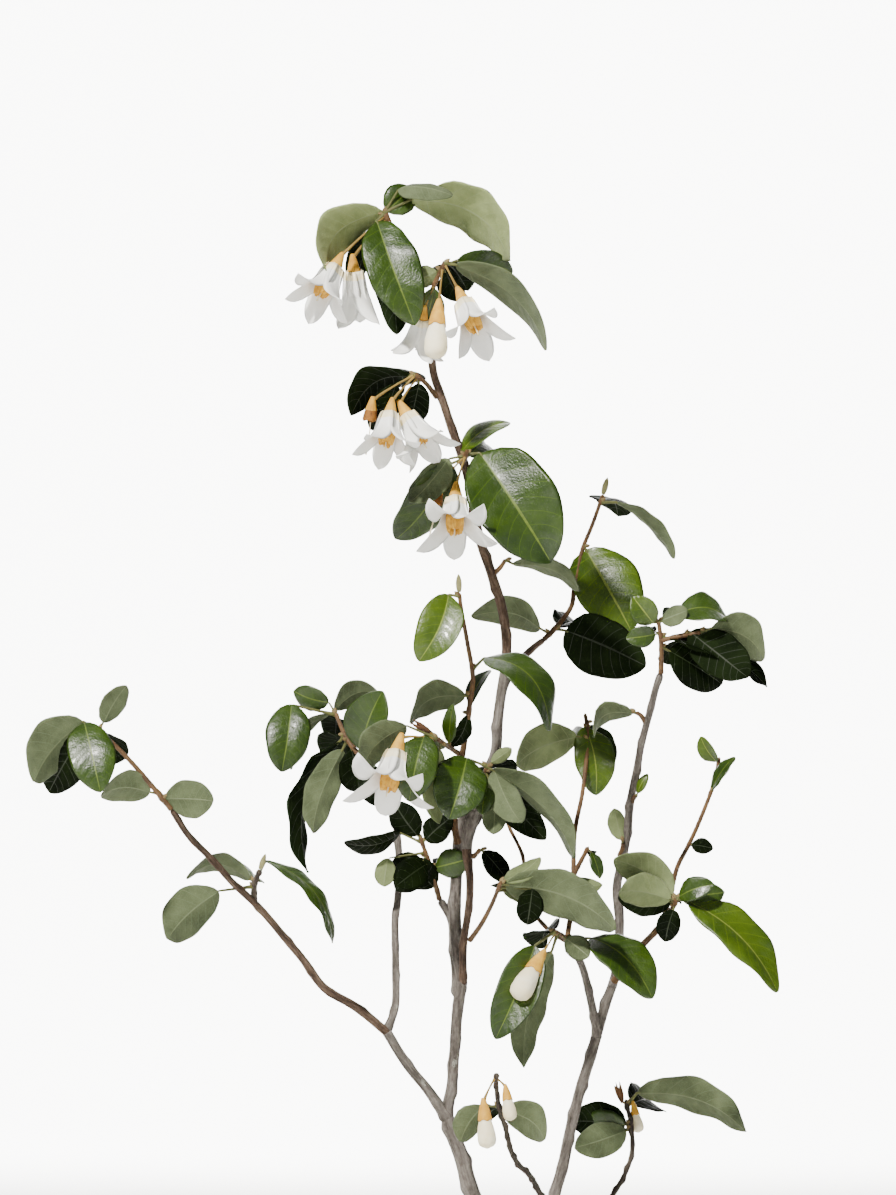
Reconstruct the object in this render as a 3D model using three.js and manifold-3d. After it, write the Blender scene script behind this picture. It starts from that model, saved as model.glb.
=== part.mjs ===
// A young snowdrop bush: two main stems from one root crown, slender forked boughs, and open sprays
// of rounded leaves with hanging white bell flowers. Millimetres, +Z up. The origin is at the ground
// under the trunk, +X is to the right and +Y is away from the side that is looked at.
import * as THREE from "three";
import { mergeVertices } from "three/addons/utils/BufferGeometryUtils.js";
import Module from "manifold-3d";

const wasm = await Module();
wasm.setup();

// Driving dimensions.
const CLEARANCE = 0.32;
const BLADE_THICKNESS = 1.0;
const PETIOLE_RADIUS = 0.55;
const PETIOLE_LENGTH = 4;
const PEDICEL_RADIUS = 0.6;
const TWIG_FOOT_RADIUS = 1.0;
const TWIG_TIP_RADIUS = 0.75;
const CALYX_LENGTH = 8.6;
const CALYX_HOLD = 0.7;
const CALYX_RADIUS = 2.6;
const PETAL_LENGTH = 21;
const PETAL_COUNT = 5;
const CONE_LENGTH = 11;
const CONE_RADIUS = 2.4;
const BUD_BODY_LENGTH = 13;
const BUD_BODY_RADIUS = 4.0;
const STYLE_LENGTH = 15;
const STYLE_RADIUS = 0.5;
const TIP_BUD_LENGTH = 6.5;
const TIP_BUD_RADIUS = 1.3;

// How finely each kind of piece is faceted.
const LIMB_SIDES = 6;
const LIMB_STEP = 10;
const TWIG_SIDES = 4;
const TWIG_STEP = 9;
const STALK_SIDES = 3;
const STRAIGHT_STALK = 11;
const EDGES = 4;
const ROUND_SIDES = 5;
const FINEST = 0.1;
const GROUND_SIZE = 60;

// The blade's outline: how early it widens from its base and how it narrows to its tip.
const BASE_POWER = 0.6;
const TIP_POWER = 0.68;
const BLADE_PLACES = [0.14, 0.38, 0.66, 0.9];
const SMALL_BLADE_PLACES = [0.2, 0.52, 0.84];
const SMALL_LEAF = 27;
const BLADE_FOLD = 0.12;
const PETIOLE_SUNK = 0.4;
const STATION_SHARES = [0.2, 0.5, 0.85];
const TWIG_MARKS = 12;

// The seeded rule for the leaves that fill the crown behind the front ones.
const REAR_LEAN = [56, 76];
const REAR_LENGTH = [0.72, 1.0];
const REAR_SPREAD = 20;
const REAR_ROLL = 50;
const REAR_ARCH = 0.12;
const REAR_WIDTH = 0.58;
const REAR_LONGEST = 32;
const KEEP_CLEAR = 5.5;
const SEED_FACTOR = 1664525;
const SEED_STEP = 1013904223;
const SEED_RANGE = 4294967296;

// Colours, roughness and metalness of the living plant.
const OLD_BARK = { color: 0x857b72, roughness: 0.85, metalness: 0 };
const YOUNG_BARK = { color: 0x7c5a42, roughness: 0.75, metalness: 0 };
const FOLIAGE = { color: 0x56702f, roughness: 0.5, metalness: 0 };

const TURN = Math.PI / 180;

// The limbs. Each route is [x, z] places that the middle of the limb passes, depths are its y evenly
// along it, radii run evenly from its foot to its end, and off names the limbs that it is cut clear of.
const LIMBS = [
  { name: "trunk", bark: OLD_BARK, depths: [0, 0], radii: [8.5, 4.2, 3.2, 2.9, 2.6, 1.9, 1.9, 2.2], off: [],
    route: [[0, 0], [-4, 20], [-11, 38], [-17, 54], [-22, 70], [-26, 83], [-24, 98], [-23, 116], [-21, 130]] },
  { name: "left_bough_lower", bark: OLD_BARK, depths: [0, -8], radii: [2.0, 1.7, 1.7], off: ["trunk"],
    route: [[-26, 81], [-34, 93], [-38, 98], [-43, 105], [-48, 113]] },
  { name: "left_bough", bark: OLD_BARK, depths: [-8, -28, -62], radii: [1.6, 1.4, 1.2, 1.1],
    off: ["left_bough_lower"],
    route: [[-48, 113], [-59, 122], [-71, 130], [-79, 141], [-94, 159], [-103, 168], [-110, 176],
      [-119, 186], [-124, 194]] },
  { name: "left_riser", bark: OLD_BARK, depths: [-8, 12, 44], radii: [1.4, 1.3, 1.3, 1.1],
    off: ["left_bough_lower", "left_bough"],
    route: [[-48, 113], [-45, 122], [-45, 151], [-44, 160], [-44, 182], [-47, 196], [-56, 209]] },
  { name: "tall_stem_lower", bark: OLD_BARK, depths: [0, 12, 12], radii: [2.1, 2.1, 1.9, 1.8],
    off: ["trunk"],
    route: [[-21, 130], [-23, 146], [-23, 164], [-22, 182], [-18, 194], [-14, 202], [-9, 212], [-8, 225],
      [-5, 244]] },
  { name: "tall_stem_upper", bark: YOUNG_BARK, depths: [12, 0, -14, -20], radii: [1.8, 1.7, 1.6, 1.4, 1.1],
    off: ["tall_stem_lower"],
    route: [[-5, 244], [-5, 254], [-7, 268], [-10, 277], [-14, 288], [-17, 304], [-21, 320], [-28, 340],
      [-31, 349], [-32, 358], [-36, 376], [-43, 395]] },
  { name: "inner_left_bough", bark: OLD_BARK, depths: [0, 14], radii: [1.5, 1.5, 1.4],
    off: ["trunk", "tall_stem_lower"],
    route: [[-23, 126], [-24, 146], [-25, 153], [-29, 160]] },
  { name: "centre_stem", bark: YOUNG_BARK, depths: [0, -15, -17], radii: [1.4, 1.4, 1.35, 1.35, 1.5, 2.4, 3.6],
    off: ["trunk", "tall_stem_lower"],
    route: [[-21, 129], [-20, 146], [-18, 167], [-19, 182], [-17, 190], [-13, 199]] },
  { name: "centre_shoot", bark: YOUNG_BARK, depths: [8, -20], radii: [1.3, 1.2, 1.0],
    off: ["tall_stem_lower", "centre_stem"],
    route: [[-22, 178], [-24, 189], [-22, 203], [-21, 212], [-19, 223]] },
  { name: "upper_right_bough", bark: YOUNG_BARK, depths: [12, 28], radii: [1.3, 1.1],
    off: ["tall_stem_lower", "tall_stem_upper"], route: [[-6, 237], [-2, 244], [4, 250], [9, 254]] },
  { name: "right_stem_lower", bark: OLD_BARK, depths: [0, 16, 20], radii: [4.4, 2.3, 2.0, 1.9, 1.9],
    off: ["trunk"], route: [[2, 2], [5, 20], [9, 38], [13, 54], [17, 70], [20, 84], [25, 101], [28, 111]] },
  { name: "right_stem_upper", bark: OLD_BARK, depths: [20, 16, 0, -38], radii: [1.8, 1.7, 1.5, 1.3, 1.2],
    off: ["right_stem_lower"],
    route: [[28, 111], [31, 122], [35, 134], [36, 152], [35, 164], [37, 174], [39, 188], [41, 203],
      [45, 223], [47, 232], [50, 242]] },
  { name: "right_twig", bark: OLD_BARK, depths: [20, -8], radii: [1.5, 1.3],
    off: ["right_stem_lower", "right_stem_upper"],
    route: [[28, 110], [26, 122], [24, 131], [22, 137], [18, 145]] },
  { name: "long_thin_twig", bark: YOUNG_BARK, depths: [-8, 42], radii: [0.8, 0.6], off: ["right_twig"],
    route: [[18, 145], [12, 148], [6, 154], [2, 164], [1, 175], [-5, 189]] },
  { name: "right_side_bough", bark: YOUNG_BARK, depths: [18, -22], radii: [1.3, 1.1],
    off: ["right_stem_upper"], route: [[33, 129], [44, 144], [50, 151], [53, 156]] },
];

// The sprays. Each grows from one stem, given as a limb is. A leaf or bloom starts at a place along it:
// the whole number picks the stem (0) or one of its side twigs (1, 2), the rest is the share along it.
// Leaf: place, aim, lean, length, width, roll, arch, petiole length, petiole aim. Aim is the chord's
// angle as seen from the front (0 right, 90 up), lean turns it to the back, roll turns the blade about
// its chord (0 shows the upper face, 180 the underside), arch is its rise over its chord.
// Bloom: place, stalk aim, stalk length, aim, lean, kind, size.
const SPRAYS = [
  { name: "top_left_spray", off: ["tall_stem_upper"], depths: [-20, -23], rear: 2,
    route: [[-43, 396], [-46, 402], [-49, 407]],
    leaves: [
      [0.9, 231, -20, 32, 21, 230, 0.32, 2, 130],
      [0.7, 250, 32, 26, 12, 230, 0.1, 6, 215],
      [0.95, 290, -18, 42, 20, 12, 0.12, 4, 225],
      [0.8, 275, 14, 40, 15, 170, 0.06, 3],
      [0.98, 42, 20, 13, 12, 0, 0.15, 1],
      [0.97, 352, -22, 21, 12, 225, -0.12, 10, 58],
      [0.98, 328, -9, 42, 27, 130, 0.27, 11, 26],
    ],
    blooms: [
      [0.9, 222, 21, 242, -25, "open", 1.05],
      [0.8, 226, 18, 275, 12, "half", 1],
    ] },
  { name: "top_right_spray", off: ["tall_stem_upper"], depths: [-17, -32], rear: 2,
    route: [[-34, 370], [-32, 378], [-27, 389]],
    leaves: [
      [0.98, 317, -12, 46, 20, 122, 0.14, 4, 350],
      [0.9, 305, 40, 16, 10, 200, 0.1, 3],
      [0.95, 350, 26, 23, 10, 8, 0.06, 5, 15],
      [0.85, 205, 20, 12, 8, 190, 0.1, 2],
      [0.6, 252, 30, 20, 11, 15, 0.1, 2],
    ],
    blooms: [
      [0.9, 264, 12, 266, -22, "bud", 1.2],
      [0.97, 298, 10, 294, -28, "open", 1.05],
      [0.6, 246, 9, 258, 22, "open", 0.85],
    ] },
  { name: "mid_left_spray", off: ["tall_stem_upper"], depths: [-14, -24], rear: 1,
    route: [[-30, 341], [-34, 346], [-38, 349]],
    leaves: [
      [0.98, 214, 12, 26, 19, 235, 0.24, 2],
      [0.8, 258, 30, 18, 11, 20, 0.1, 2],
      [0.95, 243, 22, 20, 12, 15, 0.1, 8, 205],
    ],
    blooms: [
      [0.98, 208, 17, 262, 8, "spent", 1],
      [0.95, 225, 12, 262, -24, "open", 1],
      [0.85, 230, 11, 300, -14, "open", 1],
    ] },
  { name: "upper_node_spray", off: ["tall_stem_upper"], depths: [-7, -18], rear: 1,
    route: [[-21, 317], [-20, 319], [-19, 322]],
    leaves: [
      [0.3, 32, 15, 21, 15, 60, 0.14, 3, 100],
      [0.7, 303, -12, 48, 31, 10, 0.1, 5, 5],
      [0.6, 229, -16, 22, 14, 150, 0.12, 6, 190],
      [0.4, 234, 14, 35, 19, 20, 0.1, 5, 200],
    ],
    blooms: [
      [0.6, 225, 13, 258, -6, "spent", 1],
      [0.7, 251, 11, 268, -28, "wide", 1.1],
    ] },
  { name: "mid_stem_leaf", off: ["tall_stem_upper"], depths: [4, 0], rear: 0,
    route: [[-9, 278], [-7, 280], [-5, 283]],
    leaves: [[0.95, 338, -15, 27, 14, 118, 0.15, 3, 330]],
    blooms: [] },
  { name: "upper_right_spray", off: ["upper_right_bough"], depths: [28, 56, 74], rear: 3,
    route: [[9, 254], [14, 259], [19, 266], [20, 272], [23, 286], [27, 296], [31, 307]],
    leaves: [
      [0.95, 316, -8, 30, 12, 112, 0.1, 6, 0],
      [0.68, 299, -20, 36, 26, 8, 0.08, 2],
      [0.1, 336, 14, 33, 23, 190, 0.08, 4, 350],
      [0.05, 170, 12, 26, 15, 218, 0.25, 4, 150],
    ],
    blooms: [[0.99, 75, 2, 75, 0, "tip", 1]] },
  { name: "right_top_spray", off: ["right_stem_upper"], depths: [-38, -44], rear: 3,
    route: [[50, 242], [50, 253], [49, 261]],
    sides: [{ from: 0.62, aim: 12, lean: -8, length: 15 }],
    leaves: [
      [0.97, 128, -10, 12, 10, 0, 0.1, 2, 190],
      [0.97, 22, -25, 11, 8, 200, 0.1, 1],
      [0.97, 352, 10, 18, 17, 52, 0.24, 8, 21],
      [1.97, 330, -12, 22, 18, 148, 0.3, 4, 20],
      [1.6, 321, -28, 30, 17, 190, 0.1, 2, 40],
      [0.7, 335, 8, 40, 17, 62, 0.08, 3],
      [0.5, 328, 24, 25, 17, 20, 0.1, 3],
      [0.75, 188, -15, 11, 8, 0, 0.1, 2],
    ],
    blooms: [] },
  { name: "right_stem_spur", off: ["right_stem_upper"], depths: [-22, -26], rear: 0,
    route: [[45, 224], [43, 227], [41, 228]],
    leaves: [[0.95, 212, -14, 17, 12, 232, 0.38, 1]],
    blooms: [] },
  { name: "right_stem_bud", off: ["right_stem_upper"], depths: [1, -5], rear: 0,
    route: [[40, 195], [41, 197], [42, 198]],
    leaves: [[0.95, 62, -8, 8, 4, 30, 0.1, 1]],
    blooms: [] },
  { name: "right_stem_leaf", off: ["right_stem_upper"], depths: [8, 4], rear: 0,
    route: [[36, 176], [37, 179], [37, 181]],
    leaves: [[0.95, 104, -10, 12, 7, 170, 0.1, 1]],
    blooms: [] },
  { name: "inner_right_spray", off: ["right_twig", "long_thin_twig"], depths: [-4, 26, 52], rear: 3,
    route: [[17, 147], [19, 160], [20, 184], [23, 199], [25, 220], [24, 227]],
    sides: [{ from: 0.28, aim: 62, lean: -10, length: 12 }],
    leaves: [
      [0.88, 205, -20, 26, 18, 212, 0.22, 4, 160],
      [0.93, 279, -16, 26, 15, 15, 0.1, 1, 150],
      [0.96, 300, 18, 18, 10, 150, 0.1, 2],
      [1.9, 288, -10, 10, 5, 30, 0.1, 2, 320],
    ],
    blooms: [] },
  { name: "centre_spray", off: ["centre_shoot"], depths: [-20, -32], rear: 2,
    route: [[-19, 223], [-18, 232], [-17, 240], [-19, 253], [-21, 264], [-22, 271]],
    leaves: [
      [0.97, 246, -15, 27, 16, 0, 0.12, 4, 172],
      [0.42, 312, -14, 36, 21, 55, 0.26, 6, 45],
      [0.12, 61, 25, 16, 9, 60, 0.1, 2],
      [0.23, 206, -18, 23, 15, 222, 0.28, 2],
      [0.1, 242, 4, 13, 7, 30, 0.1, 1],
    ],
    blooms: [[0.99, 90, 1, 92, -5, "tip", 1]] },
  { name: "centre_left_spray", off: ["centre_shoot"], depths: [-13, -42], rear: 2,
    route: [[-22, 213], [-26, 216], [-30, 219]],
    leaves: [
      [0.97, 226, -15, 23, 15, 216, 0.28, 12, 157],
      [0.95, 257, -22, 26, 16, 0, 0.12, 5, 165],
      [0.8, 268, 8, 27, 13, 235, 0.06, 3],
      [0.45, 84, -30, 16, 6, 30, 0.05, 2],
    ],
    blooms: [
      [0.97, 172, 13, 256, -22, "wide", 1.2],
      [0.9, 140, 4, 150, 0, "husk", 0.7],
    ] },
  { name: "burl_spray", off: ["centre_stem"], depths: [-17, -26], rear: 2,
    route: [[-13, 199], [-13, 204], [-12, 209]],
    leaves: [
      [0.97, 254, -26, 25, 20, 0, 0.12, 8, 158],
      [0.97, 314, -14, 45, 20, 122, 0.12, 2],
      [0.8, 311, 14, 32, 13, 170, 0.08, 2],
      [0.93, 297, -30, 24, 12, 200, 0.15, 3, 340],
      [0.8, 266, -20, 13, 9, 185, 0.1, 11, 288],
      [0.6, 266, -36, 15, 9, 0, 0.1, 2],
      [0.99, 35, -10, 9, 5, 180, 0.1, 2],
    ],
    blooms: [] },
  { name: "left_riser_spray", off: ["left_riser"], depths: [44, 58], rear: 3,
    route: [[-56, 209], [-63, 218], [-67, 227]],
    leaves: [
      [0.98, 162, 14, 14, 10, 20, 0.1, 5, 122],
      [0.97, 20, -16, 18, 12, 145, 0.26, 2, 110],
      [0.96, 262, -18, 26, 17, 0, 0.12, 17, 167],
      [0.95, 236, 10, 25, 9, 235, 0.24, 3, 170],
      [0.5, 250, -18, 34, 13, 200, 0.14, 4],
      [0.6, 256, 6, 50, 15, 245, 0.18, 3],
      [0.4, 278, 22, 17, 13, 0, 0.1, 2],
      [0.1, 71, -24, 25, 17, 25, 0.1, 3, 85],
      [0.05, 284, -18, 16, 12, 0, 0.1, 2, 300],
    ],
    blooms: [] },
  { name: "inner_left_spray", off: ["inner_left_bough"], depths: [14, 8, 4], rear: 2,
    route: [[-29, 160], [-32, 171], [-36, 183]],
    leaves: [
      [0.95, 125, -6, 15, 12, 20, 0.1, 2],
      [0.9, 42, -24, 14, 10, 0, 0.1, 2],
      [0.9, 190, -14, 21, 13, 58, 0.15, 9, 155],
      [0.75, 262, -20, 11, 8, 180, 0.1, 14, 188],
      [0.6, 186, 10, 12, 11, 10, 0.1, 2],
      [0.5, 15, -12, 13, 11, 0, 0.1, 2],
      [0.6, 215, -36, 16, 12, 0, 0.1, 2],
      [0.7, 228, -10, 15, 12, 10, 0.1, 2],
      [0.15, 132, -20, 15, 12, 0, 0.1, 2],
    ],
    blooms: [] },
  { name: "centre_stem_leaf", off: ["centre_stem"], depths: [-16, -18], rear: 0,
    route: [[-17, 176], [-15, 178], [-14, 179]],
    leaves: [[0.95, 309, 8, 15, 9, 30, 0.1, 1]],
    blooms: [] },
  { name: "left_tip_spray", off: ["left_bough"], depths: [-62, -74], rear: 1,
    route: [[-124, 194], [-128, 199], [-139, 212], [-150, 223]],
    leaves: [
      [0.97, 58, -10, 16, 10, 150, 0.1, 3],
      [0.97, 284, -26, 28, 17, 0, 0.12, 6, 153],
      [0.96, 231, -12, 28, 21, 216, 0.15, 7, 150],
      [0.9, 240, 22, 27, 16, 0, 0.1, 8, 170],
      [0.18, 183, -16, 18, 17, 225, 0.2, 3],
      [0.13, 357, -24, 19, 15, 162, 0.12, 1],
    ],
    blooms: [] },
  { name: "left_side_spray", off: ["left_bough"], depths: [-33, -44], rear: 1,
    route: [[-95, 161], [-95, 166], [-93, 172]],
    leaves: [
      [0.6, 179, -10, 23, 14, 235, 0.28, 2],
      [0.45, 223, -22, 27, 17, 200, 0.12, 13, 187],
      [0.8, 309, 6, 38, 12, 66, 0.2, 6, 62],
    ],
    blooms: [[0.99, 70, 1, 70, 0, "tip", 0.9]] },
  { name: "lower_centre_spray", off: ["centre_stem"], depths: [-8, -40], rear: 2,
    route: [[-18, 146], [-14, 152], [-10, 160], [-7, 168]],
    leaves: [
      [0.96, 338, -12, 43, 20, 152, 0.2, 2],
      [0.97, 33, 18, 16, 10, 230, 0.1, 2],
      [0.85, 3, 6, 36, 12, 200, 0.1, 2],
      [0.9, 262, 6, 13, 10, 0, 0.1, 12, 357],
    ],
    blooms: [] },
  { name: "bud_spray", off: ["right_twig", "long_thin_twig", "inner_right_spray"], depths: [-9, -30], rear: 2,
    route: [[18, 145], [15, 148], [12, 150]],
    leaves: [
      [0.3, 316, -22, 33, 19, 35, 0.15, 9, 2],
      [0.95, 247, -14, 37, 16, 5, 0.05, 9, 215],
      [0.8, 256, -4, 43, 14, 215, 0.1, 7, 252],
      [0.6, 322, -16, 11, 9, 180, 0.1, 2],
    ],
    blooms: [[0.9, 238, 8, 239, -30, "bud", 1.18]] },
  { name: "right_side_spray", off: ["right_side_bough"], depths: [-22, -30], rear: 2,
    route: [[53, 156], [55, 159], [56, 162]],
    leaves: [
      [0.9, 148, -8, 25, 16, 212, 0.16, 2],
      [0.8, 170, -26, 21, 13, 200, 0.12, 2],
      [0.7, 176, 10, 19, 12, 195, 0.1, 2],
      [0.97, 20, -18, 14, 9, 20, 0.12, 1],
      [0.85, 8, 14, 16, 10, 10, 0.1, 2],
      [0.95, 315, -10, 46, 19, 52, 0.1, 4, 342],
      [0.6, 256, 6, 12, 9, 0, 0.1, 2],
    ],
    blooms: [] },
  { name: "thin_right_spray", off: ["right_side_bough", "right_side_spray"], depths: [-18, 30, 50], rear: 0,
    route: [[51, 153], [54, 162], [57, 172], [61, 179], [65, 187], [71, 202], [73, 211]],
    leaves: [
      [0.97, 123, -10, 11, 7, 30, 0.1, 1],
      [0.83, 56, -6, 15, 8, 60, 0.08, 1],
      [0.56, 350, -5, 8, 6, 0, 0.1, 1],
    ],
    blooms: [] },
  { name: "lower_front_spray", off: ["right_stem_lower"], depths: [11, -20, -48], rear: 2,
    route: [[11, 44], [6, 57], [3, 62], [0, 65], [-3, 70], [-5, 78], [-8, 89], [-9, 100]],
    leaves: [
      [0.8, 238, -12, 15, 11, 205, 0.2, 6, 180],
      [0.78, 326, -18, 19, 15, 148, 0.28, 1],
    ],
    blooms: [
      [0.98, 240, 9, 275, -8, "bud", 0.95],
      [0.97, 325, 4, 279, -14, "bud", 0.7],
    ] },
  { name: "lower_back_spray", off: ["right_stem_lower"], depths: [5, 30, 56], rear: 1,
    route: [[6, 22], [22, 38], [35, 54], [39, 61], [41, 67], [41, 75], [39, 86]],
    leaves: [
      [0.97, 341, -12, 43, 16, 142, 0.16, 6, 52],
      [0.88, 177, 8, 21, 14, 190, 0.1, 2],
      [0.86, 198, -6, 20, 13, 175, 0.1, 2],
      [0.88, 182, 26, 17, 12, 0, 0.1, 2],
    ],
    blooms: [
      [0.96, 50, 3, 281, -12, "bud", 0.62],
      [0.97, 150, 2, 105, 0, "husk", 0.75],
    ] },
];

// Small helpers: a run of values spread evenly over a share, a direction from its two angles.
function spread(values, share) {
  const place = Math.min(Math.max(share, 0), 1) * (values.length - 1);
  const index = Math.min(Math.floor(place), values.length - 2);
  return THREE.MathUtils.lerp(values[index], values[index + 1], place - index);
}

function heading(aim, lean) {
  const flat = Math.cos(lean * TURN);
  return new THREE.Vector3(flat * Math.cos(aim * TURN), Math.sin(lean * TURN), flat * Math.sin(aim * TURN));
}

// A smooth curve through a route, with its depth spread along the route's own length.
function curveOf(route, depths) {
  const run = [0];
  for (let i = 1; i < route.length; i += 1) {
    run.push(run[i - 1] + Math.hypot(route[i][0] - route[i - 1][0], route[i][1] - route[i - 1][1]));
  }
  const places = route.map(([x, z], i) => new THREE.Vector3(x, spread(depths, run[i] / run.at(-1)), z));
  return new THREE.CatmullRomCurve3(places, false, "centripetal");
}

// Turns a closed geometry into a solid, after each of its points has been put in its place.
function formed(geometry, placed) {
  geometry.deleteAttribute("normal");
  geometry.deleteAttribute("uv");
  const merged = mergeVertices(geometry, 1e-5);
  const spots = merged.getAttribute("position");
  const spot = new THREE.Vector3();
  for (let i = 0; i < spots.count; i += 1) {
    spot.copy(placed(spots.getX(i), spots.getY(i), spots.getZ(i)));
    spots.setXYZ(i, spot.x, spot.y, spot.z);
  }
  const corners = merged.getIndex().array;
  const triVerts = [];
  for (let i = 0; i < corners.length; i += 3) {
    const [a, b, c] = [corners[i], corners[i + 1], corners[i + 2]];
    if (a !== b && b !== c && c !== a) {
      triVerts.push(a, b, c);
    }
  }
  return new wasm.Manifold(new wasm.Mesh({
    numProp: 3,
    vertProperties: new Float32Array(spots.array),
    triVerts: Uint32Array.from(triVerts),
  }));
}

// A round limb along a curve, closed at both ends. Its rings stay square to the curve, and a reach
// draws both of its ends out a little past the curve.
function tube(curve, radiusAt, sides, rings, reach = 0) {
  const frames = curve.computeFrenetFrames(rings);
  return formed(new THREE.CylinderGeometry(1, 1, 1, sides, rings), (x, y, z) => {
    const share = y + 0.5;
    const ring = Math.round(share * rings);
    const radius = radiusAt(share);
    const past = { 0: -reach, [rings]: reach }[ring] ?? 0;
    return curve.getPointAt(share)
      .addScaledVector(frames.tangents[ring], past)
      .addScaledVector(frames.normals[ring], x * radius)
      .addScaledVector(frames.binormals[ring], -z * radius);
  });
}

function stalk(from, through, to, footRadius, tipRadius) {
  const curve = new THREE.QuadraticBezierCurve3(from, through, to);
  const rings = curve.getLength() > STRAIGHT_STALK ? 2 : 1;
  return tube(curve, (share) => THREE.MathUtils.lerp(footRadius, tipRadius, share), STALK_SIDES, rings);
}

// The frame of a blade or bloom: its chord, the way its upper face looks, and its own left.
function frameOf(aim, lean, roll) {
  const chord = heading(aim, lean);
  const facing = new THREE.Vector3(0, -1, 0).addScaledVector(chord, chord.y).normalize();
  const aside = new THREE.Vector3().crossVectors(facing, chord);
  const upper = facing.clone().multiplyScalar(Math.cos(roll * TURN))
    .addScaledVector(aside, Math.sin(roll * TURN));
  return { chord, upper, across: new THREE.Vector3().crossVectors(upper, chord) };
}

// The blade's half width at a share of its length, 1 at its widest.
function outline(share) {
  const widest = BASE_POWER / (BASE_POWER + TIP_POWER);
  return (share / widest) ** BASE_POWER * ((1 - share) / (1 - widest)) ** TIP_POWER;
}

// A place on a blade's middle: along its chord, raised toward its upper face by its arch.
function midrib(base, frame, long, arch, share) {
  return base.clone()
    .addScaledVector(frame.chord, long * share)
    .addScaledVector(frame.upper, long * arch * 4 * share * (1 - share));
}

// A sphere with four edges, drawn out through a row of stations from its foot to its tip. Each station
// has its middle, the way it runs, its half width and half thickness, and how far its edges are folded up.
function drawnOut(stations, upper) {
  const last = stations.length - 1;
  return formed(new THREE.SphereGeometry(1, EDGES, last), (x, y, z) => {
    const index = last - Math.round(Math.acos(THREE.MathUtils.clamp(y, -1, 1)) / Math.PI * last);
    const { middle, along, half = 0, thick = 0, fold = 0 } = stations[index];
    if (index === 0 || index === last) {
      return middle;
    }
    const ring = Math.sqrt(1 - y * y);
    const across = new THREE.Vector3().crossVectors(upper, along).normalize();
    const up = new THREE.Vector3().crossVectors(along, across);
    return middle.clone()
      .addScaledVector(across, -half * x / ring)
      .addScaledVector(up, half * fold * Math.abs(x / ring) + thick * z / ring);
  });
}

// A turned shape about an axis, from the radii at places along it.
function turned(base, frame, profile) {
  const points = profile.map(([radius, height]) => new THREE.Vector2(radius, height));
  return formed(new THREE.LatheGeometry(points, ROUND_SIDES), (x, y, z) => base.clone()
    .addScaledVector(frame.across, -x)
    .addScaledVector(frame.chord, y)
    .addScaledVector(frame.upper, z));
}

// A leaf: its petiole leaves the middle of the twig and runs into the blade as one closed shape.
function leaf(twig, share, row) {
  const [, aim, lean, long, wide, roll, arch, petiole = PETIOLE_LENGTH, petioleAim] = row;
  const frame = frameOf(aim, lean, roll);
  const from = twig.getPointAt(share);
  const leaving = petioleAim === undefined
    ? frame.chord.clone().addScaledVector(frame.upper, 2 * arch).normalize()
    : heading(petioleAim, lean / 2);
  const base = from.clone().addScaledVector(leaving, petiole);
  const running = (place) => frame.chord.clone()
    .addScaledVector(frame.upper, 4 * arch * (1 - 2 * place)).normalize();
  const places = long > SMALL_LEAF ? BLADE_PLACES : SMALL_BLADE_PLACES;
  const stations = [
    { middle: from },
    { middle: from.clone().addScaledVector(leaving, PETIOLE_SUNK), along: leaving, half: PETIOLE_RADIUS,
      thick: PETIOLE_RADIUS },
    { middle: base, along: leaving.clone().add(running(0)).normalize(), half: PETIOLE_RADIUS,
      thick: PETIOLE_RADIUS },
    ...places.map((place) => ({ middle: midrib(base, frame, long, arch, place), along: running(place),
      half: wide / 2 * outline(place), thick: BLADE_THICKNESS / 2, fold: BLADE_FOLD })),
    { middle: midrib(base, frame, long, arch, 1) },
  ];
  return {
    middle: STATION_SHARES.map((place) => midrib(base, frame, long, arch, place)),
    solids: [drawnOut(stations, frame.upper)],
  };
}

// The parts of a bloom, from its calyx outward.
const CUP = [[0, 0], [0.45, 0.05], [1, 1], [0, 1.06]];
const EGG = [[0, 0], [0.8, 0.25], [0.9, 0.65], [0, 1]];
const CONE = [[0, 0], [0.45, 0.05], [1, 0.8], [0, 1.02]];
const NOTCH = 0.42;

function scaled(profile, radius, height, shift = 0) {
  return profile.map(([r, h]) => [r * radius, h * height + shift]);
}

// The corolla: a star with one point for each petal, its outer face up from the cup and its inner face
// back down to the middle. Every other side of the turned shape is drawn in to a notch.
function corolla(base, frame, size, openness) {
  const points = [[0, 0], [0.12, 0.02], [1, 1], [0, 0.1]].map(([r, h]) => new THREE.Vector2(r, h));
  const start = CALYX_LENGTH * CALYX_HOLD * size;
  return formed(new THREE.LatheGeometry(points, 2 * PETAL_COUNT), (x, y, z) => {
    const radius = Math.hypot(x, z);
    const side = Math.round(Math.atan2(z, x) / Math.PI * PETAL_COUNT + 2 * PETAL_COUNT);
    const drawn = side % 2 === 0 ? 1 : NOTCH;
    const out = PETAL_LENGTH * size * drawn;
    const spun = radius < 0.5 ? 1 / drawn : 1;
    return base.clone()
      .addScaledVector(frame.across, -x * out * spun * Math.sin(openness))
      .addScaledVector(frame.upper, z * out * spun * Math.sin(openness))
      .addScaledVector(frame.chord, start + y * out * spun * Math.cos(openness));
  });
}

const OPENNESS = { wide: 52 * TURN, open: 36 * TURN, half: 22 * TURN };

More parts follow.
